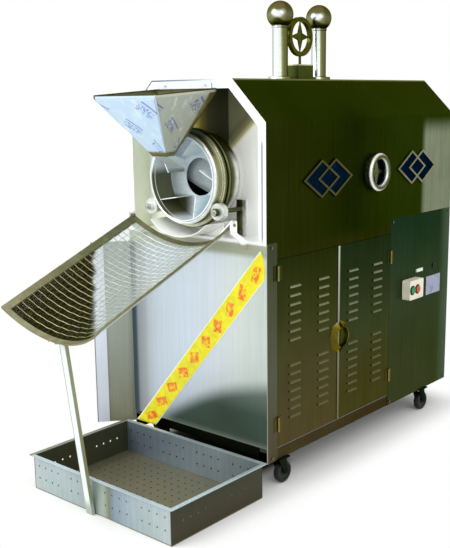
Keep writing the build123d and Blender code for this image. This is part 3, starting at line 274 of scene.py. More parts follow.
class RoasterTray(bpy.types.PropertyGroup):
    """Edge and holes of the tray."""
    edge: length_of("Edge", 2, "Radius of the rolled edge")
    corner: length_of("Corner", 5, "Radius of the rolled edge's corners")
    lip: length_of("Lip", 11, "Reach of the lip beyond the walls")
    wall: length_of("Wall", 2, "Thickness of the sheet")
    hole: length_of("Hole radius", 3.5, "Radius of the holes")
    pitch: length_of("Pitch", 33, "Spacing of the holes")
    floor_margin: length_of("Floor margin", 36, "Least space between the floor's holes and the walls")
    wall_margin: length_of("Wall margin", 26, "Space between the long wall's outermost holes and its ends")
    low_row: length_of("Low row", 43, "Height of the wall's lower row")
    high_row: length_of("High row", 85, "Height of the wall's upper row")
    groups: count_of("Groups", 4, "Groups of holes along the wall")
    members: count_of("Members", 4, "Holes in a group")


class RoasterFlap(bpy.types.PropertyGroup):
    """Bright strip on the free edge of the service flap."""
    hinge_back: length_of("Hinge back", 34.75, "Hinge line behind the front")
    hinge_across: length_of("Hinge across", -317, "Hinge line across the cabinet")
    width: length_of("Width", 165, "Width of the flap from its hinge line")
    strip: length_of("Strip", 46, "Width of the strip")
    low: length_of("Low", 102, "Foot of the flap")
    high: length_of("High", 785, "Head of the flap")
    margin: length_of("Margin", 0.4, "Distance of the strip from the flap's edges")
    proud: length_of("Proud", 0.28, "How far the base of the strip lies outside the hinge line")
    opening: angle_of("Opening", 138, "Angle that the flap stands open")


SETTINGS = {
    "roaster_stage": RoasterStage,
    "roaster_colours": RoasterColours,
    "roaster_sash": RoasterSash,
    "roaster_mouth": RoasterMouth,
    "roaster_chute": RoasterChute,
    "roaster_hopper": RoasterHopper,
    "roaster_crest": RoasterCrest,
    "roaster_tray": RoasterTray,
    "roaster_flap": RoasterFlap,
}


# Surfaces


def skin(grid, wrap=False, loop=False, caps=False):
    """Points, faces and UVs of one or more grids of points, with the shape (copies, rows, columns, 3).

    A face joins (i, j), (i, j+1), (i+1, j+1) and (i+1, j). Wrap joins the last column to the first, loop the
    last row to the first, and caps close the end rows. A corner's UV is its column and row as shares of the
    grid.
    """
    grid = np.asarray(grid, float)
    grid = grid[None] if grid.ndim == 3 else grid
    copies, rows, columns, _ = grid.shape
    over = columns if wrap else columns - 1
    up = rows if loop else rows - 1
    k, i, j = np.meshgrid(np.arange(copies), np.arange(up), np.arange(over), indexing="ij")
    base = k * rows * columns
    i_next = (i + 1) % rows
    j_next = (j + 1) % columns
    faces = np.stack([base + i * columns + j, base + i * columns + j_next,
                      base + i_next * columns + j_next, base + i_next * columns + j], -1)
    u = np.stack([j, j + 1, j + 1, j], -1) / over
    v = np.stack([i, i, i + 1, i + 1], -1) / up
    uvs = np.stack([u, v], -1).reshape(-1, 2)
    polygons = faces.reshape(-1, 4).tolist()
    if caps:
        starts = np.arange(copies)[:, None] * rows * columns
        ring = np.arange(columns)[None, :]
        polygons += (starts + ring[:, ::-1]).tolist() + (starts + (rows - 1) * columns + ring).tolist()
        uvs = np.concatenate([uvs, np.full((2 * copies * columns, 2), 0.5)])
    return grid.reshape(-1, 3), polygons, uvs


def round_angles(sides):
    """Even angles round a full turn."""
    return np.linspace(0, 2 * pi, sides, endpoint=False)


def unit(vectors):
    """Vectors drawn to the length 1."""
    return vectors / np.linalg.norm(vectors, axis=-1, keepdims=True)


def tubes(paths, radius, sides=10, reference=(0, 0, 1), closed=False):
    """Round bars along paths of points, with the shape (copies, points, 3).

    At each point stands a circle square to the path: radius * (first * cos + second * sin), where first is
    the reference made square to the path's direction, and second is square to both. The radius may differ by
    point.
    """
    paths = np.asarray(paths, float)
    paths = paths[None] if paths.ndim == 2 else paths
    along = unit(np.roll(paths, -1, 1) - np.roll(paths, 1, 1) if closed else np.gradient(paths, axis=1))
    reference = np.asarray(reference, float)
    first = unit(reference - along * (along @ reference)[..., None])
    second = np.cross(along, first)
    turn = round_angles(sides)[:, None]
    ring = first[:, :, None, :] * np.cos(turn) + second[:, :, None, :] * np.sin(turn)
    size = np.broadcast_to(np.asarray(radius, float), paths.shape[:2])[..., None, None]
    return skin(paths[:, :, None, :] + size * ring, wrap=True, loop=closed, caps=not closed)


def turned(profile, centre, axis, sides=64, loop=False, caps=False):
    """A profile of (radius, along) pairs carried round an axis.

    A point is centre + along * axis + radius * a turning arm.
    """
    profile = np.asarray(profile, float)
    axis = np.asarray(axis, float)
    first = np.array([axis[1], axis[2], axis[0]])
    second = np.cross(axis, first)
    turn = round_angles(sides)[None, :, None]
    arm = first * np.cos(turn) + second * np.sin(turn)
    grid = np.asarray(centre, float) + profile[:, 1, None, None] * axis + profile[:, 0, None, None] * arm
    return skin(grid, wrap=True, loop=loop, caps=caps)


def leaning(x, y, z, angle):
    """Points turned about the cross axis: y * cos - z * sin to the back, and y * sin + z * cos up."""
    back = y * cos(angle) - z * sin(angle)
    up = y * sin(angle) + z * cos(angle)
    return np.stack(np.broadcast_arrays(x, back, up), -1)


def arc(middle, radius, start, end, steps):
    """Points of a circle's arc between two angles in degrees."""
    turn = np.radians(np.linspace(start, end, steps))
    return np.stack([middle[0] + radius * np.cos(turn), middle[1] + radius * np.sin(turn)], -1)


def rounded_outline(half_width, half_height, corner, steps=6):
    """Points round a rectangle with round corners: a corner's centre plus its radius at a turning angle."""
    turn = (np.arange(4)[:, None] + np.linspace(0, 1, steps)[None, :]) * pi / 2
    u = np.array([1, -1, -1, 1])[:, None] * (half_width - corner) + corner * np.cos(turn)
    v = np.array([1, 1, -1, -1])[:, None] * (half_height - corner) + corner * np.sin(turn)
    return np.stack([u.ravel(), v.ravel()], -1)


def plate(half_width, half_height, corner, rows, origin, right, up):
    """A rounded plate: its outline drawn in and raised row by row from the base, and closed at both ends.

    Rows are (inset, rise) pairs. A point is origin + u * right + v * up + rise * (right x up).
    """
    out = np.cross(right, up)
    levels = []
    for inset, rise in rows:
        flat = rounded_outline(half_width - inset, half_height - inset, corner - inset)
        levels.append(flat[:, :1] * np.asarray(right) + flat[:, 1:] * np.asarray(up) + rise * out)
    return skin(np.asarray(origin, float) + np.stack(levels), wrap=True, caps=True)


def slope_sheet(corners, offset, columns=40, rows=40, margins=(0, 0, 0, 0), ripple=0.0):
    """A four-cornered sheet: a point at (s, t) lies s along and t down between the four corners.

    Corners run top left, top right, bottom right, bottom left. Margins cut shares off the left, right, top
    and bottom, and the sheet stands off along its normal by an offset plus a ripple of crossed sines.
    """
    a, b, c, d = [np.asarray(p, float) for p in corners]
    left, right, top, bottom = margins
    s = np.linspace(left, 1 - right, columns)[None, :, None]
    t = np.linspace(top, 1 - bottom, rows)[:, None, None]
    grid = (a * (1 - s) + b * s) * (1 - t) + (d * (1 - s) + c * s) * t
    wave = np.sin(9 * s + 4 * t) * np.sin(13 * t - 3 * s) + 0.6 * np.sin(23 * s - 11 * t)
    return skin(grid + unit(np.cross(d - a, b - a)) * (offset + ripple * wave))


def make(name, skins, finishes, body, sharp=35, closed=True, thickness=0.0):
    """One object of several skins in cabinet millimetres, with one finish or one for each, riding on a body.

    Where the skins are closed, doubles are merged and faces turned outwards. A thickness gives a sheet its
    back.
    """
    finishes = [finishes] * len(skins) if isinstance(finishes, str) else finishes
    kinds = list(dict.fromkeys(finishes))
    points, polygons, uvs, numbers = [], [], [], []
    start = 0
    for (skin_points, skin_polygons, skin_uvs), kind in zip(skins, finishes):
        points.append(skin_points)
        polygons += [[start + corner for corner in polygon] for polygon in skin_polygons]
        uvs.append(skin_uvs)
        numbers += [kinds.index(kind)] * len(skin_polygons)
        start += len(skin_points)
    mesh = bpy.data.meshes.new(name)
    mesh.from_pydata(in_frame(np.concatenate(points)).tolist(), [], polygons)
    layer = mesh.uv_layers.new(name="UVMap")
    layer.data.foreach_set("uv", np.concatenate(uvs).ravel())
    mesh.polygons.foreach_set("material_index", numbers)
    if closed:
        work = bmesh.new()
        work.from_mesh(mesh)
        bmesh.ops.remove_doubles(work, verts=work.verts, dist=MERGE)
        bmesh.ops.recalc_face_normals(work, faces=work.faces)
        work.to_mesh(mesh)
        work.free()
    mesh.shade_smooth()
    mesh.set_sharp_from_angle(angle=radians(sharp))
    piece = bpy.data.objects.new(name, mesh)
    bpy.context.scene.collection.objects.link(piece)
    for kind in kinds:
        mesh.materials.append(finish(kind))
    if thickness:
        solid = piece.modifiers.new("Back", "SOLIDIFY")
        solid.thickness = thickness * MM
        solid.offset = -1
    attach(piece, body)
    return piece


# Finishes


class Paint:
    """The nodes of one material or of the surroundings, and the marks that a paint is made of.

    Places along the cabinet are in its millimetres. A colour is a hex code, the name of a colour setting or a
    socket.
    """

    def __init__(self, holder):
        holder.use_nodes = True
        self.tree = holder.node_tree
        self.tree.nodes.clear()
        place = self.add("TexCoord")
        self.where = place.outputs["Object"]
        self.uv = place.outputs["UV"]

    def add(self, kind, settings=None, links=None):
        """Adds a node: settings are its own values, and links fill its inputs with sockets or constants."""
        node = self.tree.nodes.new("ShaderNode" + kind)
        for key, value in (settings or {}).items():
            if key == "stops":
                ends = node.color_ramp.elements
                (start, first), *between, (end, last) = value.items()
                ends[0].position, ends[1].position = start, end
                ends[0].color, ends[1].color = (*linear(first), 1), (*linear(last), 1)
                for position, code in between:
                    ends.new(position).color = (*linear(code), 1)
            else:
                setattr(node, key, value)
        for key, value in (links or {}).items():
            if isinstance(value, bpy.types.NodeSocket):
                self.tree.links.new(value, node.inputs[key])
            elif node.inputs[key].type == "RGBA":
                node.inputs[key].default_value = (*linear(value), 1)
            else:
                node.inputs[key].default_value = value
        return node

    def distance(self, place, centre, scale):
        """How far a place lies from a centre, where each axis counts by a scale."""
        away = self.add("VectorMath", {"operation": "SUBTRACT"}, {0: place, 1: tuple(centre)}).outputs[0]
        scaled = self.add("VectorMath", {"operation": "MULTIPLY"}, {0: away, 1: scale}).outputs[0]
        return self.add("VectorMath", {"operation": "LENGTH"}, {0: scaled}).outputs["Value"]

    def along(self, way, start, end, low=0.0, high=1.0, shape="SMOOTHSTEP"):
        """A value that runs from low to high while a place runs from start to end, and is level beyond them.

        The way is an axis or a direction of the cabinet, an axis of the UV map, or the socket of a value.
        """
        if isinstance(way, bpy.types.NodeSocket):
            value = way
        elif way in MAP_AXES:
            value = self.add("SeparateXYZ", None, {0: self.uv}).outputs[MAP_AXES[way]]
        else:
            direction = np.array(AXES.get(way, way), float)
            value = self.add("VectorMath", {"operation": "DOT_PRODUCT"},
                             {0: self.where, 1: tuple(direction)}).outputs["Value"]
            start, end = np.array([start, end]) * MM + ORIGIN @ direction
        return self.add("MapRange", {"interpolation_type": shape}, {
            "Value": value, "From Min": start, "From Max": end, "To Min": low, "To Max": high}).outputs[0]

    def within(self, way, low, high, soft):
        """A share that is 1 between two places, and falls to 0 over a soft margin outside them."""
        rise = self.along(way, low - soft, low)
        fall = self.along(way, high + soft, high)
        return self.add("Math", {"operation": "MULTIPLY"}, {0: rise, 1: fall}).outputs[0]

    def shade(self, way, start, end, stops):
        """A colour that changes between two places through the stops of a ramp."""
        share = self.along(way, start, end, shape="LINEAR")
        return self.add("ValToRGB", {"stops": stops}, {"Fac": share}).outputs[0]

    def over(self, below, above, *shares):
        """One colour laid over another by the product of some shares."""
        share, *others = shares
        for other in others:
            share = self.add("Math", {"operation": "MULTIPLY"}, {0: share, 1: other}).outputs[0]
        return self.add("Mix", {"data_type": "RGBA"}, {0: share, MIX_A: below, MIX_B: above}).outputs[MIX_OUT]

    def grain(self, spacing, detail, roughness=0.5):
        """Noise whose patches are as long as a spacing in millimetres, one for each axis or one for all."""
        scale = tuple(1 / MM / np.broadcast_to(spacing, 3))
        spread = self.add("Mapping", None, {"Vector": self.where, "Scale": scale})
        return self.add("TexNoise", None, {"Vector": spread.outputs[0], "Scale": 1.0, "Detail": detail,
                                           "Roughness": roughness}).outputs[0]

    def seen(self):
        """A share that is 1 for what the camera sees, straight, in gloss or through glass."""
        rays = self.add("LightPath").outputs
        share = rays["Is Camera Ray"]
        for name in ("Is Glossy Ray", "Is Transmission Ray"):
            share = self.add("Math", {"operation": "MAXIMUM"}, {0: share, 1: rays[name]}).outputs[0]
        return share

    def close(self, colour, grain, strength, depth, roughness, metallic=0.0, edge="#ffffff"):
        """Joins a Principled shader to the output: the grain stands up as a relief of a depth in millimetres.

        Edge is the tint of the sheen at a glancing view.
        """
        bump = self.add("Bump", None, {"Height": grain, "Strength": strength, "Distance": depth * MM})
        shader = self.add("BsdfPrincipled", None, {
            "Base Color": colour, "Roughness": roughness, "Metallic": metallic, "Specular Tint": edge,
            "Normal": bump.outputs[0]})
        self.add("OutputMaterial", None, {"Surface": shader.outputs[0]})


def shell_paint(p):
    """A painted reflection: dark olive, deepest in the middle of the side, grey-beige at the rear end below
    the slope.
    """
    body = p.shade("Y", 0, 1000, {
        0: "#2a300e", 0.12: "#292f0d", 0.3: "shell", 0.5: "#1f270b", 0.75: "#2a350f", 1: "#2c3812"})
    high = p.over(body, "#2a320f", p.along("Z", 1180, 1330))
    low = p.over(high, "#2d2f12", p.along("Z", 840, 785))
    # Painted reflection: grey-beige at the rear end below the slope
    lit = p.over(low, "shell_rear", p.along("Y", 968, 1012), p.along("Z", 1215, 1130))
    sides = p.over(lit, "#5d6450", p.along("X", -250, -305))
    # Painted highlight: a pale line along the top edge
    return p.over(sides, "#77774e", p.along("Z", 1343.5, 1346.5))


def front_paint(p):
    """A painted reflection: pale blue-white with a dark teal fold along the left edge, khaki under the rim and
    a dark foot.

    The foot's dark painted reflection begins below a soft curved line, and a thin lighter streak runs along
    the bottom edge.
    """
    # Painted reflection: the pale body, and the dark teal along the folded left edge
    body = p.shade("X", -HALF, HALF, {
        0: "#2e4048", 0.03: "#3a4c52", 0.05: "#8d959a", 0.10: "#a0a7a9", 0.14: "#b4c0c6", 0.22: "#c6d4de",
        0.4: "#d2e0ec", 0.6: "front", 0.8: "#dde7e4", 1: "#d3dfd8"})
    top = p.over(body, "#b0b5a0", p.along("Z", 778, 802))
    place = p.add("VectorMath", {"operation": "SUBTRACT"}, {0: p.where, 1: tuple(ORIGIN)}).outputs[0]
    across, _, height = p.add("SeparateXYZ", None, {0: place}).outputs
    bend = p.add("Math", {"operation": "MULTIPLY_ADD"}, {0: across, 1: FOOT_BEND, 2: FOOT_SLOPE}).outputs[0]
    line = p.add("Math", {"operation": "MULTIPLY_ADD"}, {0: bend, 1: across, 2: FOOT_MIDDLE}).outputs[0]
    above = p.add("Math", {"operation": "SUBTRACT"}, {0: height, 1: line}).outputs[0]
    # Painted reflection: the dark of the panel's foot below the curved line
    dark = p.along(above, *FOOT_SOFT)
    foot = p.shade("Z", 153, 330, {
        0: "#8b978a", 0.05: "#6d7a6e", 0.12: "#4c6055", 0.6: "front_dark", 1: "#6d7d75"})
    return p.over(top, foot, dark)


def rim_paint(p):
    """White flange with a thin grey line down its right side and a khaki fold along its foot.

    The sheet's outer edge is darker along the top and the left cut corner. The walls behind the flange carry a
    grey-olive painted shade at the upper right, and are white below it and grey-beige on the left.
    """
    foot, top = [corner[2] for corner in box_of("front_rim")]
    # Painted shade: the walls turn grey-olive towards the top
    wall = p.shade("Z", 860, 1330, {
        0: "#fbfdfd", 0.6: "#f6faf6", 0.7: "#a7a98c", 0.85: "#777957", 1: "#55573a"})
    inner = p.over(wall, "#f2f6e6", p.along("X", 120, -120))
    white = p.shade("Z", 810, 1350, {0: "#fbfdfd", 0.5: "rim", 0.85: "#eef4f5", 1: "#dde5ea"})
    lined = p.over(white, "#96a0a6", p.within("X", 296, 301, 2), p.within("Z", 860, 1140, 30))
    folded = p.over(lined, "#a8ab94", p.along("Z", foot + 23, foot + 14))
    brink = top + HALF - CORNER_CUT
    cut = p.along((-1, 0, 1), brink - 6.5, brink - 5, shape="LINEAR")
    level = p.along("Z", top - 4.5, top - 3.5)
    edge = p.add("Math", {"operation": "MAXIMUM"}, {0: level, 1: cut}).outputs[0]
    darkened = p.shade("X", -HALF, HALF - CORNER_CUT, {
        0: "#4c4850", 0.35: "#5d5963", 0.6: "#8590a4", 0.8: "#c9cddd", 1: "#f0f4f8"})
    outlined = p.over(folded, darkened, edge)
    return p.over(outlined, inner, p.along("Y", 2.2, 6))


def recess_paint(p):
    """White, with a painted reflection of the hopper above the mouth on the right and mint-white on the far
    left.

    The painted reflection is a dark olive band that ends sharply at an upright line and fades through yellow
    to white on its left. On the right of the line, what lies above a slope that rises to the right is a
    grey-olive painted shade.
    """
    # Painted reflection of the hopper: a dark olive band above the mouth
    hopper_reflection = p.add("Math", {"operation": "MULTIPLY"}, {
        0: p.along("X", -112, 62), 1: p.along("Z", 1100, 1150)}).outputs[0]
    band = p.shade(hopper_reflection, 0, 1, {
        0: "#fbfdfa", 0.14: "#f8f2b0", 0.3: "#cdbb3c", 0.5: "#857818", 0.74: "#3f3c0c", 1: "#26280a"})
    slope = (-0.865, 0, 1)
    # Painted shade: grey-olive above the slope on the right
    corner = p.shade(slope, 1018.37, 1103.37, {
        0: "#fbfdfa", 0.12: "#f4f1cc", 0.22: "#b9b68c", 0.42: "#7c7b58", 0.7: "#5f6145", 1: "#6b6d50"})
    with_painted_dark = p.over(band, corner, p.along("X", 93, 98))
    return p.over(with_painted_dark, "#eef3e2", p.along("X", -60, -220))


def door_paint(p):
    """A painted reflection in olive: dark green at the top and brown towards the foot, greener on the rear
    door.

    What stands proud of the sheet, the louvre hoods and the meeting strip, carries a painted highlight.
    """
    # Painted reflection: the doors' olive, changing from foot to head and from door to door
    body = p.shade(*DOOR_SPAN, {
        0: "#564d32", 0.15: "#534b31", 0.35: "#4f4b32", 0.55: "door", 0.8: "#363c1e", 1: "#283016"})
    green = p.shade(*DOOR_SPAN, {0: "#4a4728", 0.2: "#474628", 0.5: "#3f4830", 0.8: "#2d3926", 1: "#233120"})
    sheet = p.over(body, green, p.along("Y", 410, 424))
    # Painted highlight on the louvre hoods
    worn = p.shade(*DOOR_SPAN, {0: "#625d42", 0.4: "#6d6b4c", 0.75: "#83866a", 1: "#9a9e88"})
    with_hood_highlight = p.over(sheet, worn, p.along("X", 314.2, 317.5))
    # Painted highlight on the meeting strip
    strip = p.shade(*DOOR_SPAN, {0: "#737052", 0.45: "#8d8c74", 0.75: "#b4b8aa", 1: "#c4c8bc"})
    return p.over(with_hood_highlight, strip, p.within("Y", 403.5, 412, 2), p.along("X", 313.5, 314.2))


def stile_paint(p):
    """Grey-olive painted reflection on the corner stile, browner at the foot, with a painted highlight along
    the front edge.
    """
    body = p.shade("Z", 100, 800, {
        0: "#554d38", 0.12: "#585140", 0.4: "#5c5f4e", 0.8: "#525842", 1: "#464d38"})
    # Painted highlight along the front edge
    return p.over(body, "#b4b9ac", p.along("Y", 7, 2))


def sill_paint(p):
    """Brown-olive painted reflection on the right face, as at the doors' foot, and dark frame steel elsewhere.
    """
    top = box_of("base_sills")[1][2]
    return p.over("#262a20", "#584e35", p.along("X", 309, 312), p.along("Z", top - 0.5, top - 1.5))


def hinge_paint(p):
    """Leaves in the doors' painted reflection, and yellow-green brass on knuckles and pulls, with painted
    highlights on the pulls' rims and along their top.
    """
    leaf = p.shade(*DOOR_SPAN, {0: "#5a4f2c", 0.5: "#4c4a26", 1: "#39401c"})
    knuckle = p.over(leaf, "#827c46", p.along("X", 314.8, 316.2))
    # Painted highlights and shade across the pulls' cup and ring
    cup = p.shade("Y", 352, 480, {
        0: "#4d4416", 0.2: "#5f5216", 0.38: "brass", 0.46: "#a59233", 0.49: "#cdbf6a", 0.51: "#4a4a24",
        0.65: "#3f4526", 0.78: "#6b6838", 0.88: "#b9b070", 1: "#d6cf9a"})
    # Painted highlight along the top of the pulls
    lit = p.over(cup, "#b3a24a", p.along("Z", 485, 512))
    return p.over(knuckle, lit, p.within("Y", 352, 480, 2), p.within("Z", 388, 514, 2))


def control_paint(p):
    """A painted reflection: dark green at the top, olive in the middle, and greyer along the rear edge."""
    body = p.shade("Z", 100, 835, {
        0: "#40432c", 0.3: "#3e432c", 0.6: "control", 0.85: "#2b3c2c", 1: "#25382a"})
    return p.over(body, "#505e4c", p.along("Y", 1130, 1205))


def tray_paint(p):
    """Blue-grey long walls with one soft dark band of painted reflection, dark olive-brown ends of painted
    reflection, olive floor and pale lip.
    """
    # Painted reflection: a soft dark band across the front wall
    front = p.shade("X", -333, 333, {
        0: "#b4c2c2", 0.3: "tray", 0.54: "#a0ada4", 0.575: "#767a62", 0.60: "#7f8f9c", 0.70: "#9aabb4",
        0.8: "#a7b6b8", 1: "#b4c1c1"})
    inside = p.shade("X", -333, 333, {0: "#6a7884", 0.3: "#8797a4", 0.7: "#92a1aa", 1: "#808f96"})
    long_wall = p.over(front, inside, p.along("Y", -440, -120))
    left, right = [p.along("X", way * 318.5, way * 319.5, shape="LINEAR") for way in (-1, 1)]
    ends = p.add("Math", {"operation": "MAXIMUM"}, {0: left, 1: right}).outputs[0]
    # Painted reflection: the dark olive-brown end walls
    outer = p.shade("Z", 0, 120, {0: "#38331a", 0.5: "#323116", 1: "#2b2d15"})
    walls = p.over(long_wall, p.over(outer, "#4a4d38", p.along("X", 20, -20)), ends)
    floor = p.over(walls, "#7f7b64", p.along("Z", 3.5, 2.5))
    pale = p.over("#b9c8cd", "#7d7a58", p.along("X", -318, -326))
    return p.over(floor, pale, p.along("Z", 116.5, 117.5, shape="LINEAR"))


def flap_paint(p):
    """Olive-grey flap, browner low down."""
    return p.shade("Z", 100, 790, {0: "#97987e", 0.3: "#9fa699", 1: "#a7afa7"})


def strip_paint(p):
    """Bright blue-white, with a dull line along the flap's free edge."""
    return p.over("#e4ecfa", "#7b8076", p.along("X", -423.6, -424.8))


def plain_paint(p):
    """Even grey, a little darker towards the floor."""
    return p.shade("Z", 50, 1350, {0: "#6f756f", 0.4: "plain", 1: "#9aa09a"})


def drum_paint(p):
    """Pale blue-grey at the mouth, a dark olive painted shade low on the left, and darker towards the back.

    The dark olive painted shade covers the neck's wall, and the baffle only at its foot. The front edges of
    the flights carry a painted highlight. Outside, the neck has a dark olive painted shade behind the ring and
    along its top, then is white.
    """
    body = p.shade("Y", -50, 700, {
        0: "#eef5f7", 0.1: "#d9e5ea", 0.125: "#d4e1e7", 0.2: "#7f8a90", 0.6: "#4a4a42", 1: "#3a3628"})
    deep = p.add("Math", {"operation": "MAXIMUM"}, {
        0: p.along("Y", 39.7, 38.7), 1: p.along("Z", 975, 955)}).outputs[0]
    # Painted shade: dark olive low on the left
    with_painted_dark = p.over(body, "#5f6142", p.along("X", -25, -75), p.along("Z", 1075, 1035), deep)
    # Painted highlight on the flights' front edges
    edged = p.over(with_painted_dark, "#f6fbfa", p.within("Y", -39, -36.5, 0.8))
    axis = in_frame((0, 0, mm_of(bpy.context.scene.roaster_mouth, "axis_height")))
    radius = p.distance(p.where, axis, (1 / MM, 0, 1 / MM))
    outer = p.along(radius, 138.4, 139.2, shape="LINEAR")
    # Painted shade: the neck dark olive behind the ring, then white
    bands = p.shade("Y", 18, 80, {
        0: "#2d2d10", 0.4: "#4a4a20", 0.56: "#6a6a44", 0.68: "#bcc7b7", 0.76: "#f2f6f0", 1: "#fbfdfa"})
    # Painted shade along the neck's top
    neck_top_shade = p.over(bands, "#2e300e", p.along("Z", 1070, 1125))
    return p.over(edged, neck_top_shade, outer, p.within("Y", 17, 90, 2))


def bracket_paint(p):
    """Bright on the left bracket; the right one is darker olive as painted shade, with a painted highlight on
    its white outer edge and a painted shadow on its axle.
    """
    # Painted shade and highlight across the right bracket
    right = p.shade("X", 124, 168, {
        0: "#3a3b1c", 0.45: "#4a4a26", 0.66: "#6d6d48", 0.78: "#c9ccbc", 1: "#eef2ec"})
    # Painted shadow on the axle in front of the plate
    axle = p.over(right, "#4a4a26", p.along("Y", 73, 70))
    return p.over("#dfe6df", axle, p.along("X", -20, 20))


def hopper_paint(p):
    """Pale rim band, greyer on the right as painted shade, grey spout, dark olive painted shade inside the
    back edge, white hanger above.
    """
    # Painted shade: the right side greyer
    side = p.over("#c4d8e6", "#b4b8a8", p.along("X", 115, 117))
    spout = p.over(side, "#b9c3c2", p.along("Z", 1122, 1117))
    # Painted shade: dark olive inside the walls and back edge
    walls = p.over(spout, "#5f5c38", p.along("X", -150, -152), p.along("Z", 1270, 1280))
    back = p.over("#5f5c38", "#f4f8f6", p.along("Z", 1318.5, 1320.5))
    return p.over(walls, back, p.along("Y", -12, -7))


def wire_paint(bright_end, middle_tone, dark_end):
    """The paint of wires, a painted reflection: one colour by the drum, a duller one lower down, and a dark
    one towards the low end.
    """
    stops = {0: dark_end, 0.0375: middle_tone, 0.38: middle_tone, 0.58: bright_end}
    # Painted reflection: the wire darkens towards the chute's low end
    return lambda p: p.shade(DARK_REFLECTION_WAY, DARK_REFLECTION_EDGE - 8, DARK_REFLECTION_EDGE + 312, stops)


def chute_bar_paint(p):
    """Grey-olive bar, paler and more beige towards the low end."""
    return p.shade("Y", -640, -60, {
        0: "#a3a280", 0.08: "#9a9876", 0.3: "#827f5e", 0.7: "#77754f", 1: "#8a8868"})


def leg_paint(p):
    """Pale mint-white, with olive lines along the two edges."""
    middle = p.over("#8d9170", "#e4eeec", p.within("X", -39, -17, 1))
    return p.over(middle, "#a9b3a8", p.along("Z", 60, 20))


def emblem_paint(p):
    """Dull olive bars, brighter at the rear; the ring has painted highlights as bright outer and inner lines
    round a dark band.
    """
    bars = p.shade("Y", 200, 1050, {0: "#4c4a30", 0.3: "#585638", 0.75: "#828268", 1: "#94947a"})
    centre = in_frame((0, *mm_of(bpy.context.scene.roaster_crest, "emblem_place", "emblem_height")))
    radius = p.distance(p.where, centre, (0, 1 / MM, 1 / MM))
    # Painted highlights on the ring's outer and inner lines
    ring = p.shade(radius, 44, 70.5, {
        0: "#8f9488", 0.14: "#dfe3e0", 0.26: "#8a8d7a", 0.42: "#4c4d36", 0.6: "#5f604a", 0.74: "#b9bcb2",
        0.86: "#f0f2ee", 1: "#8f917c"})
    return p.over(bars, ring, p.along(radius, 78, 74, shape="LINEAR"))


def vent_paint(p):
    """Dark olive sheet with a painted highlight along its top edge."""
    top = box_of("vent_box")[1][2]
    # Painted highlight along the top edge
    return p.over("#465026", "#b9b892", p.along("Z", top - 5, top - 3))


def brushed_steel(p, paint, spacing, contrast, roughness, metallic, edge="#ffffff"):
    """Rolled stainless sheet, brushed in one direction, in a paint or one colour.

    Long fine streaks vary the brightness and stand up as a faint relief, and broad clouds of handling vary
    the gloss. The streaks are drawn some ten times coarser than the real grit, which is too fine to show.
    """
    colour = paint if isinstance(paint, str) else paint(p)
    streaks = p.grain(spacing, detail=4.0, roughness=0.65)
    clouds = p.grain((190, 190, 150), detail=3.0)
    value = p.along(streaks, 0.3, 0.7, 1 - contrast, 1 + contrast, "LINEAR")
    haze = p.along(clouds, 0.35, 0.65, 1 - contrast / 2, 1 + contrast / 2, "LINEAR")
    product = p.add("Math", {"operation": "MULTIPLY"}, {0: value, 1: haze}).outputs[0]
    tint = p.add("HueSaturation", None, {"Value": product, "Color": colour}).outputs[0]
    gloss = p.along(clouds, 0.3, 0.7, roughness - 0.06, roughness + 0.08, "LINEAR")
    p.close(tint, streaks, strength=0.3, depth=0.04, roughness=gloss, metallic=metallic, edge=edge)


def speckled(p, colour, spot, spacing, contrast, roughness, metallic, relief, edge="#ffffff"):
    """A cast, moulded or painted surface: one colour with a fine grain and faint blotches of another.

    The grain varies the brightness and stands up as a low relief, and the blotches vary the gloss.
    """
    fine = p.grain(spacing, detail=3.0)
    blotch = p.grain(45, detail=4.0, roughness=0.6)
    mottled = p.over(colour, spot, p.along(blotch, 0.48, 0.72))
    value = p.along(fine, 0.3, 0.7, 1 - contrast, 1 + contrast, "LINEAR")
    tint = p.add("HueSaturation", None, {"Value": value, "Color": mottled}).outputs[0]
    gloss = p.along(blotch, 0.3, 0.7, roughness - 0.06, roughness + 0.08, "LINEAR")
    p.close(tint, fine, strength=0.35, depth=relief, roughness=gloss, metallic=metallic, edge=edge)


def film(p, top, low, ink):
    """Polyethylene film stuck on the sheet, milky and slightly creased.

    It gives a soft sheen with pale creases, and a few slanting bars of worn blue ink: a thin whole bar beside
    a broad broken one, at about 110 mm spacing.
    """
    crease = p.grain((34, 34, 60), detail=5.0, roughness=0.6)
    milky = p.over(p.shade("V", 0, 1, {0: top, 1: low}), "#f2f8fc", p.along(crease, 0.52, 0.7, 0, 0.4))
    slanted = p.add("Mapping", None, {"Vector": p.uv, "Rotation": (0, 0, radians(-52)),
                                      "Scale": (1.55, 2.0, 1), "Location": (0.35, 0.2, 0)})
    cell = p.add("VectorMath", {"operation": "FRACTION"}, {0: slanted.outputs[0]}).outputs[0]
    across, up, _ = p.add("SeparateXYZ", None, {0: cell}).outputs
    thin = p.within(up, 0.30, 0.34, 0.015)
    whole = p.within(up, 0.41, 0.66, 0.02)
    broken = p.along(p.grain(7, detail=3.0), 0.46, 0.58, shape="LINEAR")
    broad = p.add("Math", {"operation": "MULTIPLY"}, {0: whole, 1: broken}).outputs[0]
    bars = p.add("Math", {"operation": "MAXIMUM"}, {0: thin, 1: broad}).outputs[0]
    colour = p.over(milky, ink, p.within(across, 0.18, 0.72, 0.02), bars, 0.72)
    p.close(colour, crease, strength=0.5, depth=0.8, roughness=0.38, metallic=0.1)


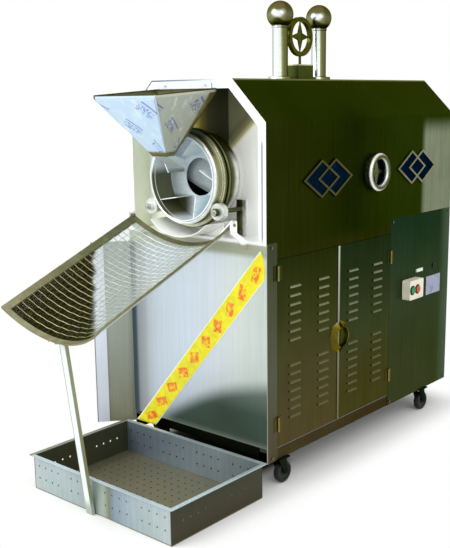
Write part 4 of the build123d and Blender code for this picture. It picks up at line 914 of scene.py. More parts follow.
def printed_vinyl(p):
    """Printed vinyl strip: yellow with white borders and a row of worn orange lozenges with golden hearts.

    It gives an even satin sheet whose colour is as strong as ink, a little uneven from the print.
    """
    marks = bpy.context.scene.roaster_sash.marks
    offset = p.uv
    for operation, other in (("MULTIPLY", (1, marks, 0)), ("FRACTION", (0, 0, 0)),
                             ("SUBTRACT", (0.5, 0.5, 0)), ("ABSOLUTE", (0, 0, 0))):
        offset = p.add("VectorMath", {"operation": operation}, {0: offset, 1: other}).outputs[0]
    side, length, _ = p.add("SeparateXYZ", None, {0: offset}).outputs
    radius = p.add("Math", {"operation": "ADD"}, {0: length, 1: side}).outputs[0]
    kept = p.along(p.grain(14, detail=1.0), 0.38, 0.52, 0.15, 1, "LINEAR")
    uneven = p.grain(22, detail=4.0)
    yellow = p.shade(uneven, 0, 1, {0.35: "#e4dc06", 0.6: "sash"})
    orange = p.shade(uneven, 0, 1, {0.35: "sash_mark", 0.65: "#f59a1c"})
    body = p.over(yellow, orange, p.along(radius, 0.37, 0.33, shape="LINEAR"), kept)
    hearts = p.over(body, "#f7c61a", p.along(radius, 0.11, 0.07, shape="LINEAR"))
    colour = p.over(hearts, "#f4f6ee", p.along(side, 0.45, 0.462, shape="LINEAR"))
    p.close(colour, uneven, strength=0.2, depth=0.3, roughness=0.42)


def polished_column(p):
    """Polished stainless tube and balls: bright on the light's side, olive on the side of the dark shell.

    The sheen runs round the column along the piece's own UV map, with faint turning lines. The ball, in the
    upper part of the map, mirrors the dark surroundings and shows one soft window of light.
    """
    tube = p.shade("U", 0, 1, {
        0: "#5a5c3a", 0.2: "#8a8f86", 0.33: "#8d9884", 0.375: "#b9c6b4", 0.40: "#e6efee",
        0.46: "#d4e0e4", 0.50: "#f2f8fa", 0.60: "#eef6f6", 0.622: "#b9c0a8", 0.638: "#666a44",
        0.70: "#696c46", 0.76: "#5a5a2e", 0.81: "#3a320e", 0.86: "#2a2408", 1: "#5a5c3a"})
    globe = p.shade("V", 0, 1, {
        0.22: "#1d1c0a", 0.30: "#35340f", 0.40: "#82814a", 0.50: "#8f9072", 0.62: "#696848", 0.76: "#6d5f38",
        0.90: "#525530", 1: "#60644a"})
    shaded = p.over(globe, "#2f2f10", p.along("U", 0.63, 0.71), 0.6)
    away = p.distance(p.uv, (0.575, 0.51, 0), (1 / 0.075, 1 / 0.10, 1))
    ball = p.over(shaded, "#f6faff", p.along(away, 1.2, 0.3))
    sheen = p.over(tube, ball, p.along("V", 0.225, 0.24))
    lines = p.grain((60, 60, 2.5), detail=2.0)
    value = p.along(lines, 0.3, 0.7, 0.93, 1.07, "LINEAR")
    tint = p.add("HueSaturation", None, {"Value": value, "Color": sheen}).outputs[0]
    p.close(tint, lines, strength=0.15, depth=0.05, roughness=0.22, metallic=1.0, edge="#b9bca0")


def rolled_hoop(p):
    """Rolled and polished steel hoop: a bright lip, then bands of olive, bright and dark along its profile.

    The bands are painted highlights on the bead and the rib crests and painted shade in the valleys; the top
    of the hoop is darker with painted shade.
    """
    # Painted highlights and shade along the profile
    bands = p.shade("V", 0, 1, {
        0: "#5a5c30", 0.06: "#3a3c14", 0.15: "#55573a", 0.22: "#767852", 0.27: "#4d4f2c", 0.33: "#3a3c18",
        0.38: "#7d7f58", 0.42: "#d4d5bc", 0.46: "#6d6f4a", 0.50: "#44462a", 0.54: "#a5a67c", 0.58: "#f4f4e6",
        0.65: "#8f9168", 0.69: "#cdd4c8", 0.78: "#f6faf8", 0.93: "#f0f5f3", 1: "#b5bdb4"})
    # Painted shade: the hoop's top darker
    darkened = p.over(bands, "#33360f", p.along("Z", 1110, 1185), 0.72)
    lines = p.grain((25, 4, 25), detail=3.0)
    value = p.along(lines, 0.3, 0.7, 0.88, 1.1, "LINEAR")
    tint = p.add("HueSaturation", None, {"Value": value, "Color": darkened}).outputs[0]
    p.close(tint, lines, strength=0.2, depth=0.08, roughness=0.26, metallic=0.9, edge="#9a9c80")


def reflecting_gauze(p):
    """Fine drawn steel wire: bright near the drum, with a dark brown painted reflection at the low end.

    The painted reflection follows the piece's own UV map, whose first value is 1 where it is full.
    """
    grit = p.grain(16, detail=4.0)
    dark_tone = p.shade(grit, 0, 1, {0.3: "#131304", 0.5: "#1f1e08", 0.7: "#33300f"})
    # Painted reflection: dark brown over the low end
    colour = p.over("#c9d4d2", dark_tone, p.along("U", 0, 1, shape="LINEAR"))
    p.close(colour, grit, strength=0.4, depth=0.2, roughness=0.72, metallic=0.15, edge="#5a5838")


# A row gives a finish's kind and its values, in the order in which that kind's function takes them
FINISHES = {
    # Folded sheet: long brushing streaks and a broad soft sheen, with painted reflections, olive for dark
    # surroundings
    "stainless_shell_brushed": (brushed_steel, shell_paint, (5, 5, 420), 0.22, 0.42, 1.0, "#b4b99a"),
    "stainless_front_brushed": (brushed_steel, front_paint, (4, 4, 380), 0.06, 0.4, 0.6),
    "stainless_rim_bright": (brushed_steel, rim_paint, 60, 0.02, 0.36, 0.15),
    "stainless_recess_bright": (brushed_steel, recess_paint, (5, 5, 300), 0.04, 0.5, 0.0, "#d8d6b4"),
    "stainless_door_brushed": (brushed_steel, door_paint, (6, 5, 330), 0.16, 0.42, 1.0, "#b4b49a"),
    "stainless_stile_brushed": (brushed_steel, stile_paint, (6, 5, 330), 0.12, 0.4, 1.0, "#b8baa4"),
    "stainless_sill_brushed": (brushed_steel, sill_paint, (300, 300, 6), 0.14, 0.46, 1.0, "#3a3628"),
    "stainless_control_brushed": (brushed_steel, control_paint, (6, 5, 330), 0.15, 0.42, 1.0, "#b0bca8"),
    "stainless_tray_brushed": (brushed_steel, tray_paint, (5, 5, 160), 0.12, 0.4, 0.5),
    "stainless_flap_brushed": (brushed_steel, flap_paint, (5, 5, 300), 0.08, 0.42, 0.5),
    "stainless_plain_sheet": (brushed_steel, plain_paint, (6, 6, 320), 0.1, 0.4, 0.8),
    "stainless_drum_shaded": (brushed_steel, drum_paint, (9, 60, 9), 0.1, 0.4, 0.35),
    "stainless_hopper_sheet": (brushed_steel, hopper_paint, (5, 5, 120), 0.06, 0.36, 0.3),
    "stainless_vent_sheet": (brushed_steel, vent_paint, (6, 6, 60), 0.2, 0.38, 1.0, "#b0b498"),
    # Blades, strips and hems: narrow sheet that catches one even light, pale or olive along its whole length
    "stainless_inner_blade": (brushed_steel, "#a9b4b6", (30, 30, 9), 0.12, 0.42, 0.3),
    "stainless_strip_bright": (brushed_steel, strip_paint, (4, 4, 200), 0.05, 0.36, 0.3),
    "stainless_lip_pale": (brushed_steel, "#b4c2c6", 30, 0.12, 0.36, 0.6),
    "stainless_olive_hem": (brushed_steel, "#827f58", (12, 12, 60), 0.22, 0.4, 0.9, "#b0ae90"),
    "stainless_rim_line": (brushed_steel, "#4f4c2c", 20, 0.2, 0.4, 1.0, "#a8a68c"),
    # Bars and drawn wire: lively short glints, and a painted reflection that darkens the wire towards the low
    # end
    "stainless_chute_bar": (brushed_steel, chute_bar_paint, 30, 0.24, 0.38, 0.9, "#b8b69a"),
    "stainless_leg_bright": (brushed_steel, leg_paint, (4, 4, 200), 0.06, 0.36, 0.3),
    "stainless_wire_drawn": (brushed_steel, wire_paint("wire", "#b4bbb2", "#96946a"), 12, 0.2, 0.34, 0.6),
    "stainless_wire_dull": (brushed_steel, wire_paint("#b9beb2", "#a0a69a", "#4f4c26"), 12, 0.2, 0.4, 0.7,
                            "#b0ae90"),
    "steel_gauze_clogged": (reflecting_gauze,),
    # Polished and ground fittings: tight highlights, with faint turning or grinding lines
    "stainless_polished": (brushed_steel, "steel", 14, 0.16, 0.22, 0.9),
    "stainless_emblem_bar": (brushed_steel, emblem_paint, 20, 0.18, 0.26, 1.0, "#b4b4a0"),
    "stainless_screw_dull": (brushed_steel, "#74755c", 6, 0.2, 0.34, 1.0, "#b4b4a0"),
    "stainless_star_dull": (brushed_steel, "#56603e", 20, 0.2, 0.28, 1.0, "#b0b4a0"),
    "stainless_finial_olive": (brushed_steel, "#4a4a1a", 14, 0.25, 0.24, 1.0, "#b4b490"),
    "steel_roller_ground": (brushed_steel, "#d9dfd8", (40, 2.5, 40), 0.3, 0.28, 0.7),
    "steel_bracket_flat": (brushed_steel, bracket_paint, 14, 0.14, 0.34, 0.7),
    "brass_pressed": (brushed_steel, hinge_paint, (9, 9, 30), 0.14, 0.34, 1.0, "#c4bc90"),
    "stainless_column_polished": (polished_column,),
    "stainless_mouth_rolled": (rolled_hoop,),
    # Plated, cast and painted metal: a fine grain without direction, and blotches of handling or rust
    "steel_zinc_plated": (speckled, "#9a9f98", "#858b80", 6, 0.12, 0.42, 0.8, 0.03),
    "steel_fork_dark": (speckled, "#232a20", "#161b14", 5, 0.2, 0.42, 1.0, 0.03, "#a8b0a4"),
    "steel_frame_tube": (speckled, "#3a443a", "#2c352c", 5, 0.12, 0.5, 0.5, 0.04),
    "iron_cast_grey": (speckled, "#4a4740", "#5e4a38", 3, 0.25, 0.62, 0.6, 0.12),
    "enamel_motor_blue": (speckled, "#3f5a68", "#365060", 4, 0.08, 0.4, 0.0, 0.05),
    "enamel_insert_dark": (speckled, "#0a1b2a", "#10283a", 5, 0.25, 0.4, 1.0, 0.03, "#a4b0b8"),
    "plate_grey_etched": (speckled, "#9ea4bc", "#868ca2", 3.5, 0.16, 0.5, 0.3, 0.05),
    # Rubber, plastic and the dark fill of painted shade in the tray's holes: matt or satin, with a moulded or
    # crumbly grain
    "rubber_black": (speckled, "rubber", "#20231a", 2.5, 0.2, 0.62, 0.0, 0.06),
    "rubber_caster_green": (speckled, "#090d08", "#131910", 2.5, 0.18, 0.6, 0.0, 0.06),
    "plastic_cream_moulded": (speckled, "box", "#d4d6c0", 2.2, 0.04, 0.4, 0.0, 0.04),
    "plastic_green_moulded": (speckled, "start", "#0f6a38", 2.2, 0.06, 0.32, 0.0, 0.03),
    "plastic_red_moulded": (speckled, "stop", "#b0320f", 2.2, 0.06, 0.32, 0.0, 0.03),
    "acrylic_window_pale": (speckled, "#e2e8e0", "#d2dad2", 4, 0.05, 0.2, 0.0, 0.02),
    "chaff_roasted_dark": (speckled, "#1d1c10", "#332c18", 2.5, 0.3, 0.8, 0.0, 0.1),
    # Film and print: a thin soft sheet over the steel, with ink on it
    "film_hopper_front": (film, "#bdd7ee", "film", "#5468bc"),
    "film_hopper_side": (film, "#a0a69c", "film_side", "#36418c"),
    "vinyl_sash_printed": (printed_vinyl,),
}


def finish(name):
    """The finish of a name, made the first time it is asked for."""
    if name not in bpy.data.materials:
        kind, *values = FINISHES[name]
        kind(Paint(bpy.data.materials.new(name)), *values)
    return bpy.data.materials[name]


# Pieces


class RoasterPiece:
    """What every operator of the roaster shares: it can be undone, and it finishes its CAD nodes."""
    bl_options = {"REGISTER", "UNDO"}
    finishes = {}

    def dress(self):
        """Gives each CAD node its finish."""
        for name, nodes in self.finishes.items():
            for node in nodes:
                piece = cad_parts[node]
                if not piece.material_slots:
                    piece.data.materials.append(finish(name))
                for slot in piece.material_slots:
                    slot.material = finish(name)


class ROASTER_OT_stage(RoasterPiece, bpy.types.Operator):
    """Sets the floor, the white surroundings, the soft lamps and the camera"""
    bl_idname = "roaster.stage"
    bl_label = "Stage"
    # Each lamp's place from the aim point and its size in metres, and its share of the key lamp's power
    lamps = {"key": ((-1.5, -3.2, 2.2), 2.6, 1.0), "fill": ((3.2, -1.2, 2.2), 3.0, 0.35)}
    # Height of the aim point in the machine's middle
    aim_height = 0.8
    # Radii of the floor's rings in metres, and how far the floor lies below the wheels
    rings = (9.0, 5.0, 2.5, 1.2, 0.5, 0.001)
    drop = 0.0005
    # Middle, half width and half length of the floor's shaded part in cabinet millimetres, and over what
    # distance it turns white
    shadow_middle = (0, 376, 0)
    shadow_half = (300, 820, 0)
    shadow_fade = 170

    def execute(self, context):
        scene = context.scene
        stage = scene.roaster_stage
        scene.view_settings.view_transform = "Standard"
        x, y, _ = (CAD_BOX[0] + CAD_BOX[1]) / 2
        self.camera(scene, stage)
        self.surroundings(scene, stage)
        self.floor(scene, x, y)
        for name, (offset, size, share) in self.lamps.items():
            lamp = bpy.data.lights.new("lamp_" + name, "AREA")
            lamp.shape = "DISK"
            lamp.size = size
            lamp.energy = stage.key * share
            holder = bpy.data.objects.new("lamp_" + name, lamp)
            holder.location = Vector((x, y, self.aim_height)) + Vector(offset)
            holder.rotation_euler = (-Vector(offset)).to_track_quat("-Z", "Y").to_euler()
            scene.collection.objects.link(holder)
        return {"FINISHED"}

    def camera(self, scene, stage):
        """The view: forward from azimuth and pitch, right level, and both turned by the roll."""
        forward = Vector((-sin(stage.azimuth) * cos(stage.pitch), cos(stage.azimuth) * cos(stage.pitch),
                          -sin(stage.pitch)))
        level = Vector((cos(stage.azimuth), sin(stage.azimuth), 0))
        upright = level.cross(forward)
        right = level * cos(stage.roll) + upright * sin(stage.roll)
        up = upright * cos(stage.roll) - level * sin(stage.roll)
        data = bpy.data.cameras.new("camera")
        data.lens = stage.lens
        data.sensor_width = 36.0
        data.sensor_fit = "AUTO"
        camera = bpy.data.objects.new("camera", data)
        turn = Matrix((right, up, -forward)).transposed().to_4x4()
        camera.matrix_world = Matrix.Translation(Vector(stage.eye) + Vector(ORIGIN)) @ turn
        scene.collection.objects.link(camera)
        scene.camera = camera

    def surroundings(self, scene, stage):
        """White to the camera, to gloss and through glass, and an even soft light to the rest."""
        scene.world = bpy.data.worlds.new("surroundings")
        p = Paint(scene.world)
        soft = p.add("Background", None, {"Color": "#ffffff", "Strength": stage.sky})
        white = p.add("Background", None, {"Color": "#ffffff", "Strength": 1.0})
        sky = p.add("MixShader", None, {0: p.seen(), 1: soft.outputs[0], 2: white.outputs[0]})
        p.add("OutputWorld", None, {"Surface": sky.outputs[0]})

    def floor(self, scene, x, y):
        """A level disc: rings of shrinking radius carried round the machine's middle and closed there."""
        profile = [(radius, 0) for radius in self.rings]
        points, polygons, _ = turned(profile, (x, y, -self.drop), (0, 0, 1), 96, caps=True)
        mesh = bpy.data.meshes.new("floor")
        mesh.from_pydata(points.tolist(), [], polygons[:-2] + polygons[-1:])
        mesh.materials.append(self.floor_finish())
        piece = bpy.data.objects.new("floor", mesh)
        scene.collection.objects.link(piece)

    def floor_finish(self):
        """Matt pale studio paper with a painted shadow under the cabinet's front and beside the flap; it keeps
        the shadow close to the machine and turns white farther out.
        """
        paper = bpy.data.materials.new("paper_studio_pale")
        p = Paint(paper)
        # Painted shadow: dark patches on the floor under the cabinet's front and beside the open flap
        under = p.add("Math", {"operation": "MULTIPLY"}, {
            0: p.within("X", -285, 160, 70), 1: p.within("Y", 40, 245, 60)}).outputs[0]
        beside = p.add("Math", {"operation": "MULTIPLY"}, {
            0: p.within("X", -430, -285, 80), 1: p.within("Y", 60, 230, 70)}).outputs[0]
        dark = p.add("Math", {"operation": "MAXIMUM"}, {0: under, 1: beside}).outputs[0]
        shaded = p.over("floor", "#23261f", dark)
        grit = p.grain(50 / 3, detail=2.0)
        value = p.along(grit, 0, 1, 0.985, 1.015, "LINEAR")
        tint = p.add("HueSaturation", None, {"Value": value, "Color": shaded}).outputs[0]
        matt = p.add("BsdfDiffuse", None, {"Color": tint})
        white = p.add("Emission", None, {"Color": "#ffffff", "Strength": 1.0})
        half = np.array(self.shadow_half) * MM
        outside = p.where
        for operation, other in (("SUBTRACT", in_frame(self.shadow_middle)), ("ABSOLUTE", (0, 0, 0)),
                                 ("SUBTRACT", half), ("MAXIMUM", (0, 0, 0))):
            outside = p.add("VectorMath", {"operation": operation}, {0: outside, 1: tuple(other)}).outputs[0]
        beyond = p.distance(outside, (0, 0, 0), (1 / MM, 1 / MM, 0))
        share = p.add("Math", {"operation": "MULTIPLY"}, {
            0: p.seen(), 1: p.along(beyond, 0, self.shadow_fade)}).outputs[0]
        surface = p.add("MixShader", None, {0: share, 1: matt.outputs[0], 2: white.outputs[0]})
        p.add("OutputMaterial", None, {"Surface": surface.outputs[0]})
        return paper


class ROASTER_OT_cabinet(RoasterPiece, bpy.types.Operator):
    """Finishes the cabinet's panels and lays the printed strip on its front"""
    bl_idname = "roaster.cabinet"
    bl_label = "Cabinet"
    finishes = {
        "stainless_front_brushed": ["lower_front_panel"],
        "stainless_shell_brushed": ["upper_shell"],
        "stainless_control_brushed": ["control_panel"],
        "stainless_stile_brushed": ["right_front_stile"],
        "stainless_plain_sheet": ["lower_left_panel", "lower_rear_panel", "upper_rear_panel", "floor_sheet"],
        "stainless_sill_brushed": ["base_sills"],
        "steel_frame_tube": ["corner_posts"],
        "stainless_screw_dull": ["panel_screws"],
    }

    def execute(self, context):
        self.dress()
        self.sash(context.scene.roaster_sash)
        return {"FINISHED"}

    def sash(self, s):
        """The strip's point at (v, u) lies u of the way from upper to lower edge, and v of the way up both.

        The upper end swells to the panel's edge, and the end that hangs below the panel curls forward.
        """
        foot_left, foot_right, foot = mm_of(s, "foot_left", "foot_right", "foot_height")
        tip, tip_height, swell = mm_of(s, "tip_across", "tip_height", "swell")
        shoulder, shoulder_height, curl = mm_of(s, "shoulder_across", "shoulder_height", "curl")
        gap, ripple, hang = mm_of(s, "gap", "ripple", "hang")
        v = np.linspace(0, 1, 81)[:, None]
        u = np.linspace(0, 1, 15)[None, :]
        x = (foot_left + (tip - foot_left) * v) * (1 - u) + (foot_right + (shoulder - foot_right) * v) * u
        z = (foot + (tip_height - foot) * v) * (1 - u) + (foot + (shoulder_height - foot) * v) * u
        x = x + swell * 4 * u * (1 - u) * v ** 40
        below = np.clip((PANEL_LOW.z / MM - z) / hang, 0, 1)
        y = -gap - ripple * np.sin(7 * v * pi) * np.sin(2 * u * pi) - curl * below ** 2
        make("sash", [skin(np.stack([x, y, z], -1))], "vinyl_sash_printed", "cabinet",
             closed=False, thickness=0.3)


class ROASTER_OT_mouth(RoasterPiece, bpy.types.Operator):
    """Finishes the recess, rollers and drum, and replaces the tyre by a rolled and ridged ring"""
    bl_idname = "roaster.mouth"
    bl_label = "Mouth"
    finishes = {
        "stainless_rim_bright": ["front_rim"],
        "stainless_recess_bright": ["recessed_front_plate", "discharge_lip"],
        "steel_bracket_flat": ["roller_brackets"],
        "steel_roller_ground": ["left_roller", "right_roller"],
        "stainless_drum_shaded": ["drum_shell", "drum_vanes"],
    }

    def execute(self, context):
        m = context.scene.roaster_mouth
        self.dress()
        self.ring(m)
        self.collar(m)
        self.apron(m)
        self.blade(m)
        self.nuts(m)
        return {"FINISHED"}

    def ring(self, m):
        """A closed profile carried round the drum's axis: round bead, track, half-round ribs and back."""
        height, inner, track, front = mm_of(m, "axis_height", "inner", "track", "front")
        rib, rise, width, first, pitch = mm_of(m, "rib", "rib_rise", "rib_width", "rib_start", "rib_pitch")
        bead = (track - inner) / 2
        bevel = bead / 4
        swell = arc((0, 0), 1, 180, 0, 11)
        starts = front + first + np.arange(m.ribs) * pitch
        end = starts[-1] + pitch
        ribs = [np.stack([rib - rise + rise * swell[:, 1], start + width / 2 * (1 + swell[:, 0])], -1)
                for start in starts]
        lip = arc((inner + bead, front + bead), bead, 180, 360, 13)
        track_line = [(track, front + 1.5 * bead), (track, front + first - bevel),
                      (track + bevel, front + first)]
        back = [(rib - rise, end), (inner, end), (inner, front + bead)]
        profile = np.concatenate([lip, track_line, *ribs, back])
        piece = make("mouth_ring", [turned(profile[::-1], (0, 0, height), (0, 1, 0), 128, loop=True)],
                     "stainless_mouth_rolled", "drum", sharp=40)
        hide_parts("drum_tyre")

    def collar(self, m):
        """A flat ring round the recessed plate's hole: a closed profile carried round the drum's axis."""
        height, inner, plate_front = mm_of(m, "axis_height", "inner", "plate_front")
        profile = np.array([(1.3, -0.1), (1.3, -1.2), (1.8, -1.6), (13.0, -1.6), (14.0, -1.0), (14.0, -0.1)])
        ring = turned(profile + (inner, 0), (0, plate_front, height), (0, 1, 0), 128, loop=True)
        make("mouth_collar", [ring], "stainless_recess_bright", "cabinet", sharp=40)

    def apron(self, m):
        """An upright sheet that closes the space under the discharge lip.

        A point lies t of the way from the ledge up to the lip, whose underside is an arc about the drum's
        axis.
        """
        height, ledge, back = mm_of(m, "axis_height", "ledge", "apron")
        reach = height - ledge - 0.1
        half = 0.66 * reach
        low = ledge + 0.3
        x = np.linspace(-half, half, 61)[None, :]
        t = np.linspace(0, 1, 7)[:, None]
        z = low + t * np.maximum(height - np.sqrt(reach ** 2 - x ** 2) - low, 0.05)
        make("lip_apron", [skin(np.stack(np.broadcast_arrays(x, back, z), -1))], "stainless_recess_bright",
             "cabinet", closed=False, thickness=1.0)

    def blade(self, m):
        """A lifting blade behind the baffle: the part of a disc above a slanting chord.

        A point lies t of the way from the chord's point at s to the disc's edge at s, where the edge runs
        from the chord's left end over the top to its right end. The chord lies a little farther back.
        """
        height, inner, place, drop = mm_of(m, "axis_height", "inner", "blade_place", "blade_drop")
        clearance, lean = mm_of(m, "blade_clearance", "blade_lean")
        reach = inner - clearance
        half = np.sqrt(reach ** 2 - drop ** 2)
        low = np.arcsin(drop / reach)
        s = np.linspace(0, 1, 49)[None, :]
        t = np.linspace(0, 1, 9)[:, None]
        turn = pi + low - (pi + 2 * low) * s
        u = (1 - t) * half * (2 * s - 1) + t * reach * np.cos(turn)
        v = (1 - t) * -drop + t * reach * np.sin(turn)
        x = u * cos(m.blade_slant) - v * sin(m.blade_slant)
        z = u * sin(m.blade_slant) + v * cos(m.blade_slant) + height
        grid = np.stack(np.broadcast_arrays(x, place + lean * (1 - t), z), -1)
        make("inner_blade", [skin(grid[::-1])], "stainless_inner_blade", "drum",
             closed=False, thickness=1.5)

    def nuts(self, m):
        """Hexagons with a domed end, carried round each roller's axle, and the axle's stub in each."""
        radius = mm_of(m, "nut")
        front = box_of("roller_brackets")[0][1]
        nut = [(radius, 0), (radius, -6), (radius - 1.5, -7.5), (6, -7.5)]
        stub = [(5, -7), (5, -11), (4, -12)]
        skins = []
        for name in ("left_roller", "right_roller"):
            x, _, z = np.mean(box_of(name), 0)
            skins.append(turned(nut, (x, front, z), (0, 1, 0), 6, caps=True))
            skins.append(turned(stub, (x, front, z), (0, 1, 0), 20, caps=True))
        make("roller_nuts", skins, "stainless_polished", "cabinet", sharp=25)


class ROASTER_OT_doors(RoasterPiece, bpy.types.Operator):
    """Finishes the doors, pulls and hinges"""
    bl_idname = "roaster.doors"
    bl_label = "Doors"
    finishes = {
        "stainless_door_brushed": ["front_door", "rear_door"],
        "brass_pressed": ["front_door_brass", "rear_door_brass", "fixed_hinge_leaves"],
    }

    def execute(self, context):
        self.dress()
        return {"FINISHED"}


class ROASTER_OT_controls(RoasterPiece, bpy.types.Operator):
    """Finishes the control section and adds the bezels round its buttons"""
    bl_idname = "roaster.controls"
    bl_label = "Controls"
    finishes = {
        "plastic_cream_moulded": ["switch_box"],
        "plastic_green_moulded": ["start_button"],
        "plastic_red_moulded": ["stop_button"],
        "plate_grey_etched": ["blank_plate"],
        "acrylic_window_pale": ["pilot_lamp"],
        "rubber_black": ["cable_grommet"],
    }

    def execute(self, context):
        self.dress()
        self.bezels()
        return {"FINISHED"}

    def bezels(self):
        """A closed profile carried round each button's axis, on the face of the switch box."""
        face = box_of("switch_box")[1][0]
        profile = np.array([(0.6, 0), (5, 0), (4.6, 1.6), (3.6, 2.4), (1.4, 2.4), (0.6, 1.8)])
        skins = []
        for name in ("start_button", "stop_button"):
            low, high = box_of(name)
            _, y, z = (low + high) / 2
            skins.append(turned(profile + ((high - low)[2] / 2, 0), (face, y, z), (1, 0, 0), 40, loop=True))
        make("switch_bezels", skins, "rubber_black", "cabinet")


class ROASTER_OT_crest(RoasterPiece, bpy.types.Operator):
    """Turns the crest's posts and balls, and cuts the faceted stars of the finial and the ring emblem"""
    bl_idname = "roaster.crest"
    bl_label = "Crest and emblems"
    finishes = {
        "stainless_vent_sheet": ["vent_box"],
        "stainless_finial_olive": ["ring_finial"],
        "stainless_emblem_bar": ["emblem_frames"],
        "enamel_insert_dark": ["emblem_inserts"],
    }

    def execute(self, context):
        self.dress()
        self.columns(context.scene.roaster_crest)
        self.stars(context.scene.roaster_crest)
        return {"FINISHED"}

    def columns(self, c):
        """A profile of foot flange, tube, collar and ball carried round each post's axis."""
        middle, spacing, roof, post = mm_of(c, "middle", "spacing", "roof", "post")
        ball, height, foot = mm_of(c, "ball", "ball_height", "foot")
        neck = height - sqrt(ball ** 2 - (post + 1) ** 2)
        lower = [(foot, 0), (foot, 9.5), (foot - 1.2, 12.6), (foot - 4, 14), (post + 4, 14.3),
                 (post + 1, 15.5), (post, 18.5)]
        collar = [(post, neck - 9), (post + 0.8, neck - 8.2), (post + 2.4, neck - 6),
                  (post + 2.4, neck - 2.5), (post + 0.9, neck - 0.5)]
        start = np.degrees(np.arccos((post + 1) / ball))
        profile = np.concatenate([lower, collar, arc((0, height), ball, -start + 1, 89.5, 40)])
        places = [middle - spacing / 2, middle + spacing / 2]
        skins = [turned(profile, (0, place, roof), (0, 0, 1), 72, caps=True) for place in places]
        piece = make("crest_columns", skins, "stainless_column_polished", "cabinet",
                     sharp=30)
        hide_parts("crest_posts")

    def stars(self, c):
        """A four-pointed outline, its radius switching between reach and waist, drawn up to a point."""
        reach, waist, middle, roof, lift = mm_of(c, "star", "waist", "middle", "roof", "finial_height")
        emblem_height, emblem_place = mm_of(c, "emblem_height", "emblem_place")
        face = box_of("emblem_inserts")[1][0]
        turn = round_angles(8)
        radius = np.where(np.arange(8) % 2 == 0, reach, waist * sqrt(2))
        rim = np.stack([radius * np.cos(turn), radius * np.sin(turn)], -1)
        emblem = (face, emblem_place, emblem_height)
        finial = (0, middle, roof + lift)
        skins = []
        for centre, out, base, rise, share in ((emblem, 1, 4.1, 9.0, 0.93), (finial, 1, 2.05, 5.5, 1.0),
                                               (finial, -1, 2.05, 5.5, 1.0)):
            levels = []
            for size, height in ((share, base), (share * 0.97, base + 0.6), (0.004, base + rise)):
                levels.append(np.stack([np.full(8, out * height), rim[:, 0] * size, rim[:, 1] * size], -1))
            skins.append(skin(np.stack(levels) + np.array(centre), wrap=True, caps=True))
        kinds = ["stainless_star_dull", "stainless_finial_olive", "stainless_finial_olive"]
        make("faceted_stars", skins, kinds, "cabinet", sharp=5)


class ROASTER_OT_hopper(RoasterPiece, bpy.types.Operator):
    """Finishes the hopper and lays its protective film, hem strips and rim bead"""
    bl_idname = "roaster.hopper"
    bl_label = "Hopper"
    finishes = {"stainless_hopper_sheet": ["hopper"]}

    def execute(self, context):
        self.dress()
        self.sheets(context.scene.roaster_hopper)
        return {"FINISHED"}

    def sheets(self, h):
        """Film and hems on the front, right and left: sheets between two corners of rim and outlet."""
        across, rim, back, high = mm_of(h, "across", "rim", "rim_back", "rim_height")
        half, low = mm_of(h, "outlet_half", "outlet_height")
        front_low, back_low = mm_of(h, "outlet_front", "outlet_back")
        front = back - rim
        left, right = across - rim / 2, across + rim / 2
        top = self.tilt(h, [(left, back, high), (left, front, high),
                            (right, front, high), (right, back, high)])
        outlet = self.tilt(h, [(across - half, back_low, low), (across - half, front_low, low),
                               (across + half, front_low, low), (across + half, back_low, low)])
        faces = [(top[i], top[i + 1], outlet[i + 1], outlet[i]) for i in (1, 2, 0)]
        films = [slope_sheet(face, 0.5, margins=(0.012, 0.012, 0.01, 0.075), ripple=0.18) for face in faces]
        hems = [slope_sheet(face, 0.6, 24, 4, (0.0, 0.0, 0.93, 0.0)) for face in faces]
        hems.append(slope_sheet(faces[1], 0.6, 5, 40, (0.87, 0.0, 0.0, 0.0)))
        make("hopper_film", films, ["film_hopper_front", "film_hopper_side", "film_hopper_front"],
             "hopper", closed=False, thickness=0.25)
        make("hopper_hem", hems, "stainless_olive_hem", "hopper", closed=False, thickness=0.5)
        self.rim_bead(h, across, rim / 2, back - rim / 2, high)

    def tilt(self, h, points):
        """Points turned by the hopper's lean about its peg line."""
        back, peg = mm_of(h, "rim_back", "peg_height")
        x, y, z = np.asarray(points, float).T
        return leaning(x, y - back, z - peg, h.tilt) + (0, back, peg)

    def rim_bead(self, h, x, half, y, high):
        """A thin bead carried round the top of the rim's outline."""
        radius, lift = mm_of(h, "bead", "bead_lift")
        outline = rounded_outline(half - 1, half - 1, 3.0)
        path = np.column_stack([outline + (x, y), np.full(len(outline), high + lift)])
        make("hopper_bead", [tubes(self.tilt(h, path), radius, 10, closed=True)], "stainless_rim_line",
             "hopper")


